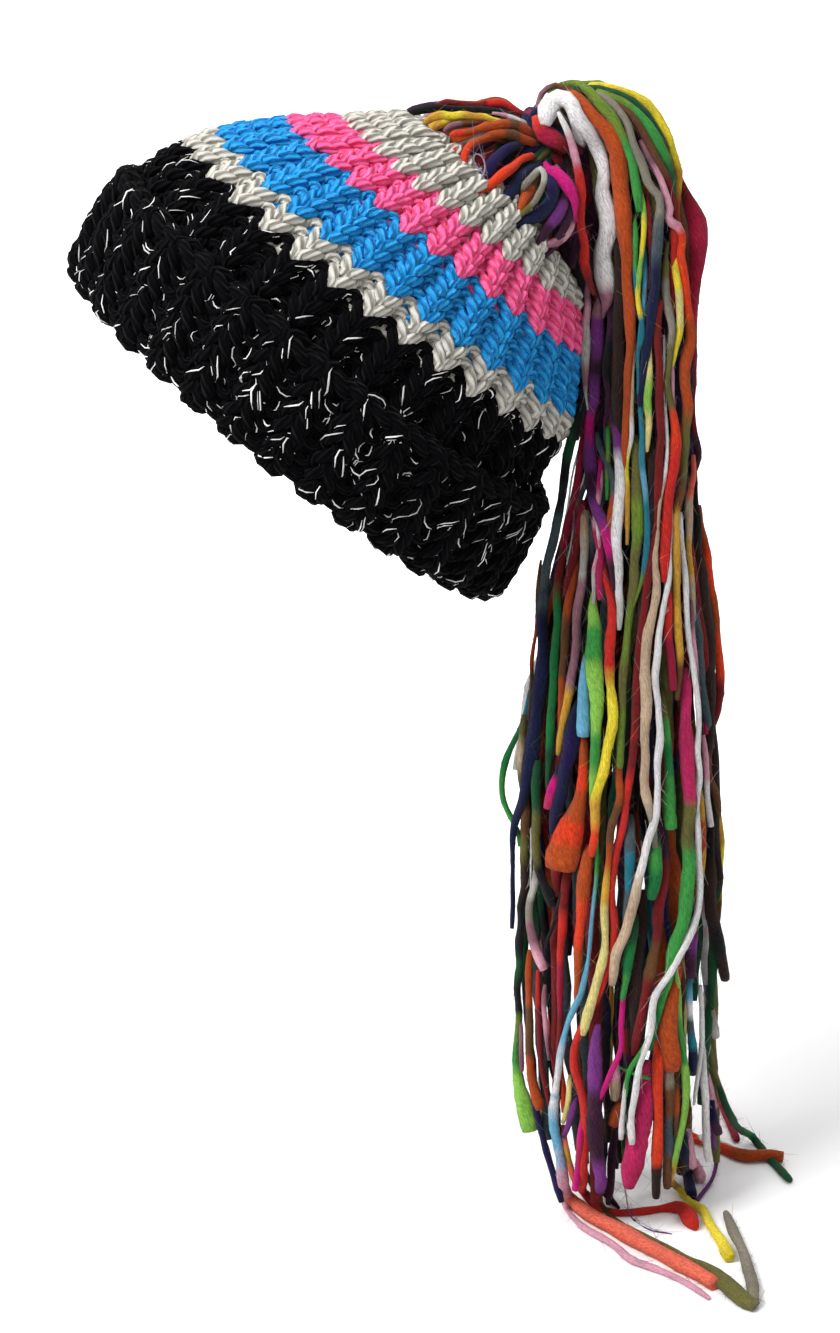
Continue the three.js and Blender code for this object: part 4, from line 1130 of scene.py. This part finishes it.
NECK_STRANDS = [
    # colours, depth at both ends (mm), then position and width of each point (px)
    ("white light_pink red red red red dark_red", -19, -24,
     "558,112,4 560,116,5 568,133,6 574,153,8 578,168,9 581,185,9 580,210,9 581,227,9 585,244,9 "
     "584,262,9 587,275,8 594,295,4"),
    # The next four are painted shade: dark strands filling the shadow between the hat and the
    # ponytail.
    ("dark_brown plum black dark_brown plum black", -12, -9,
     "566,150,8 573,175,10 576,200,11 574,225,12 574,248,12 579,272,11 584,296,10 587,325,9 "
     "587,355,9 585,385,8 581,415,8 576,440,7"),
    ("black plum dark_red dark_brown black", -12, -4,
     "548,206,8 555,226,10 563,246,10 569,262,10 576,279,10 583,298,9 587,325,9 588,360,8"),
    ("plum black dark_brown", 0, 6,
     "556,205,9 560,228,10 570,250,10 579,276,10 586,305,9 590,340,8"),
    ("plum dark_red plum dark_brown", -5, -3,
     "574,132,9 582,152,12 586,175,13 588,200,12 589,225,12 591,250,12 593,275,12 596,300,9"),
]
TABLE_STRANDS = [
    # colours, layer, hanging points, then lying points, each with position and width
    ("green light_blue light_blue light_blue white light_blue light_pink salmon salmon salmon "
     "salmon", 1.0,
     "597,835,3 597,849,4 597,874,4 593,903,4 591,931,4 588,960,4 582,989,7 567,1027,6 "
     "561,1050,7 557,1079,7 554,1099,9 554,1119,10 557,1139,10 560,1160,11",
     "572,1200,14 589,1214,17 611,1226,20 638,1241,20 668,1257,18 694,1271,17 715,1284,18"),
    ("white light_pink light_pink light_pink", 0.85, "556,1120,5 558,1145,6",
     "565,1204,6 583,1227,7 611,1243,8 634,1261,8 664,1272,7 688,1284,6 709,1298,6"),
    ("brown brown khaki khaki khaki khaki taupe taupe taupe", 0.7, "580,1130,5 583,1160,5",
     "610,1215,5 650,1238,5 688,1258,6 715,1274,13 728,1285,20 741,1297,20 751,1304,15 "
     "753,1293,13 749,1272,12 742,1250,11 733,1230,10 726,1213,10"),
    ("lime green lime lime gold gold yellow yellow yellow", 1.02,
     "676,970,4 678,989,6 679,1018,6 684,1060,8 686,1089,8 685,1109,8 680,1139,7 675,1158,7",
     "680,1190,8 690,1202,8 700,1208,9 711,1225,10 721,1241,12 729,1257,14"),
    ("dark_red dark_red dark_red dark_red red red red red red red", 0.98,
     "661,300,6 658,316,7 657,338,8 659,360,8 659,381,8 660,422,8 661,442,9 659,462,9 658,493,9 "
     "656,525,9 650,560,9 647,588,9 643,620,9 639,651,9 637,683,9 636,714,9 634,745,8 "
     "628,790,8 624,816,8 616,855,8 612,893,8 614,931,8 612,950,8 601,989,8 586,1018,8 "
     "575,1046,8 575,1069,9 581,1089,10 585,1115,10 585,1148,10 583,1172,11",
     "588,1196,9 600,1208,8 619,1213,8 638,1212,8 664,1208,8 678,1207,14 690,1219,20 "
     "696,1228,8"),
    ("khaki dark_green dark_green emerald dark_green dark_green", 0.1,
     "706,1030,5 710,1054,6 716,1079,7 726,1105,8",
     "757,1142,8 773,1162,8 790,1180,9"),
    ("light_pink red crimson", 0.15, "706,1070,6 710,1087,7",
     "720,1101,7 728,1119,8 737,1140,9"),
    ("brown burnt_orange burnt_orange orange_red burnt_orange", 0.1,
     "686,1090,7 688,1115,9", "694,1138,10 717,1146,11 747,1156,13 767,1155,14 783,1157,16"),
    ("white", 0.1, "704,1100,3 708,1120,4", "715,1139,4 729,1145,4 739,1151,4"),
    ("purple plum purple", 0.5, "710,1110,4 713,1134,4", "718,1158,4 710,1182,4 696,1202,5"),
    ("navy indigo", 0.7, "682,1125,8 684,1148,10", "687,1174,11 692,1196,12"),
    ("light_pink", 0.6, "688,1130,8 690,1150,10", "696,1168,14 701,1178,14"),
    ("mauve purple", 0.9, "622,1170,1.2 626,1195,1.2", "634,1220,1.2 650,1230,1.2 672,1234,1.2"),
    ("purple plum purple plum", 1.0,
     "598,1025,8 595,1046,11 595,1069,15 595,1099,17 595,1129,17 597,1158,15 600,1176,13",
     "607,1195,9 619,1208,4"),
]


def seen_on_table(across, down, height):
    """World points that the camera sees at these picture positions, at heights over the table."""
    ray = seen_at(across, down, np.zeros(len(across))) - CAMERA_AT
    return CAMERA_AT + ray * ((TABLE_Z + height - CAMERA_AT[2]) / ray[:, 2])[:, None]


fill_parts = []
for i in range(FILL_STRANDS):
    angle = 2 * math.pi * (i * GOLDEN_SHARE % 1)
    out = math.sqrt((i + 0.5) / FILL_STRANDS)
    reach = FILL_REACH - FILL_SHORTER * wool_dice.uniform() ** 1.6
    at = np.linspace(0, reach, 26)
    drift = waves(at, 7, 18, wool_dice) * 0.16
    spread = np.clip((at - 10) / 6, 0, 1)
    swirl = angle + waves(at, 9, 22, wool_dice) * (0.25 + 0.35 * spread)
    rho = np.clip(out * 0.95 + drift, 0.05, 0.97)
    out_limit = 0.84 + 0.12 * spread
    u = np.clip(rho * np.cos(swirl), -0.97, out_limit)
    v = rho * np.sin(swirl)
    points = in_bundle(at, u, np.where(v < 0, NEAR_SHARE * v, v))
    points = points[points[:, 2] > TABLE_Z + FILL_CLEARS_TABLE]
    # Strands out of sight get only dark colours: painted shade between the strands in front.
    hidden = out < 0.6 or math.sin(angle) < 0
    choice = DARK_COLOURS_FOR_SHADE if hidden else list(YARN_COLOURS)
    words = " ".join(choice[k] for k in wool_dice.integers(0, len(choice), 5))
    size = wool_dice.uniform(1.3, 2.8)
    radii = np.linspace(size, size * wool_dice.uniform(0.6, 1.1), len(points))
    fill_parts.append(wool_strand(points, radii, even_shades(words), wool_dice, step=FILL_STEP))
charted_parts = []
for words, layer, chart in CHARTED_STRANDS:
    across, down, radii = charted(chart)
    part = np.linspace(0, 1, len(across))
    layers = np.interp(part, np.linspace(0, 1, np.size(layer)), np.atleast_1d(layer))
    if down[0] > BELOW_CROWN:
        layers = layers - TUCK_SHARE * np.clip(1 - part / TUCK_PART, 0, 1)
    charted_parts.append(wool_strand(on_bundle(across, down, layers), radii, even_shades(words),
                                     wool_dice, wander=0.4, uneven=0.09))
for words, first, last, chart in NECK_STRANDS:
    across, down, radii = charted(chart)
    points = seen_at(across, down, np.linspace(first, last, len(across)) * MM)
    charted_parts.append(wool_strand(points, radii, even_shades(words), wool_dice, wander=0.3,
                                     uneven=0.09))
for words, layer, hanging, lying in TABLE_STRANDS:
    across, down, radii = charted(hanging)
    lying_across, lying_down, lying_radii = charted(lying)
    rise = np.minimum(lying_radii, FLAT_FROM) * MM
    points = np.concatenate([on_bundle(across, down, layer),
                             seen_on_table(lying_across, lying_down, rise)])
    charted_parts.append(wool_strand(points, np.r_[radii, lying_radii], even_shades(words),
                                     wool_dice, wander=0.25, uneven=0.09, flat_axis=2))
for name, parts, fibres in (("tail_fill", fill_parts, FILL_FIBRES),
                            ("tail_strands", charted_parts, CHARTED_FIBRES)):
    tail = yarn_object(name, parts + [loose_fibres(parts, fibres, wool_dice)], felt)
    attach(tail, "root")
    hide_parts("ponytail")
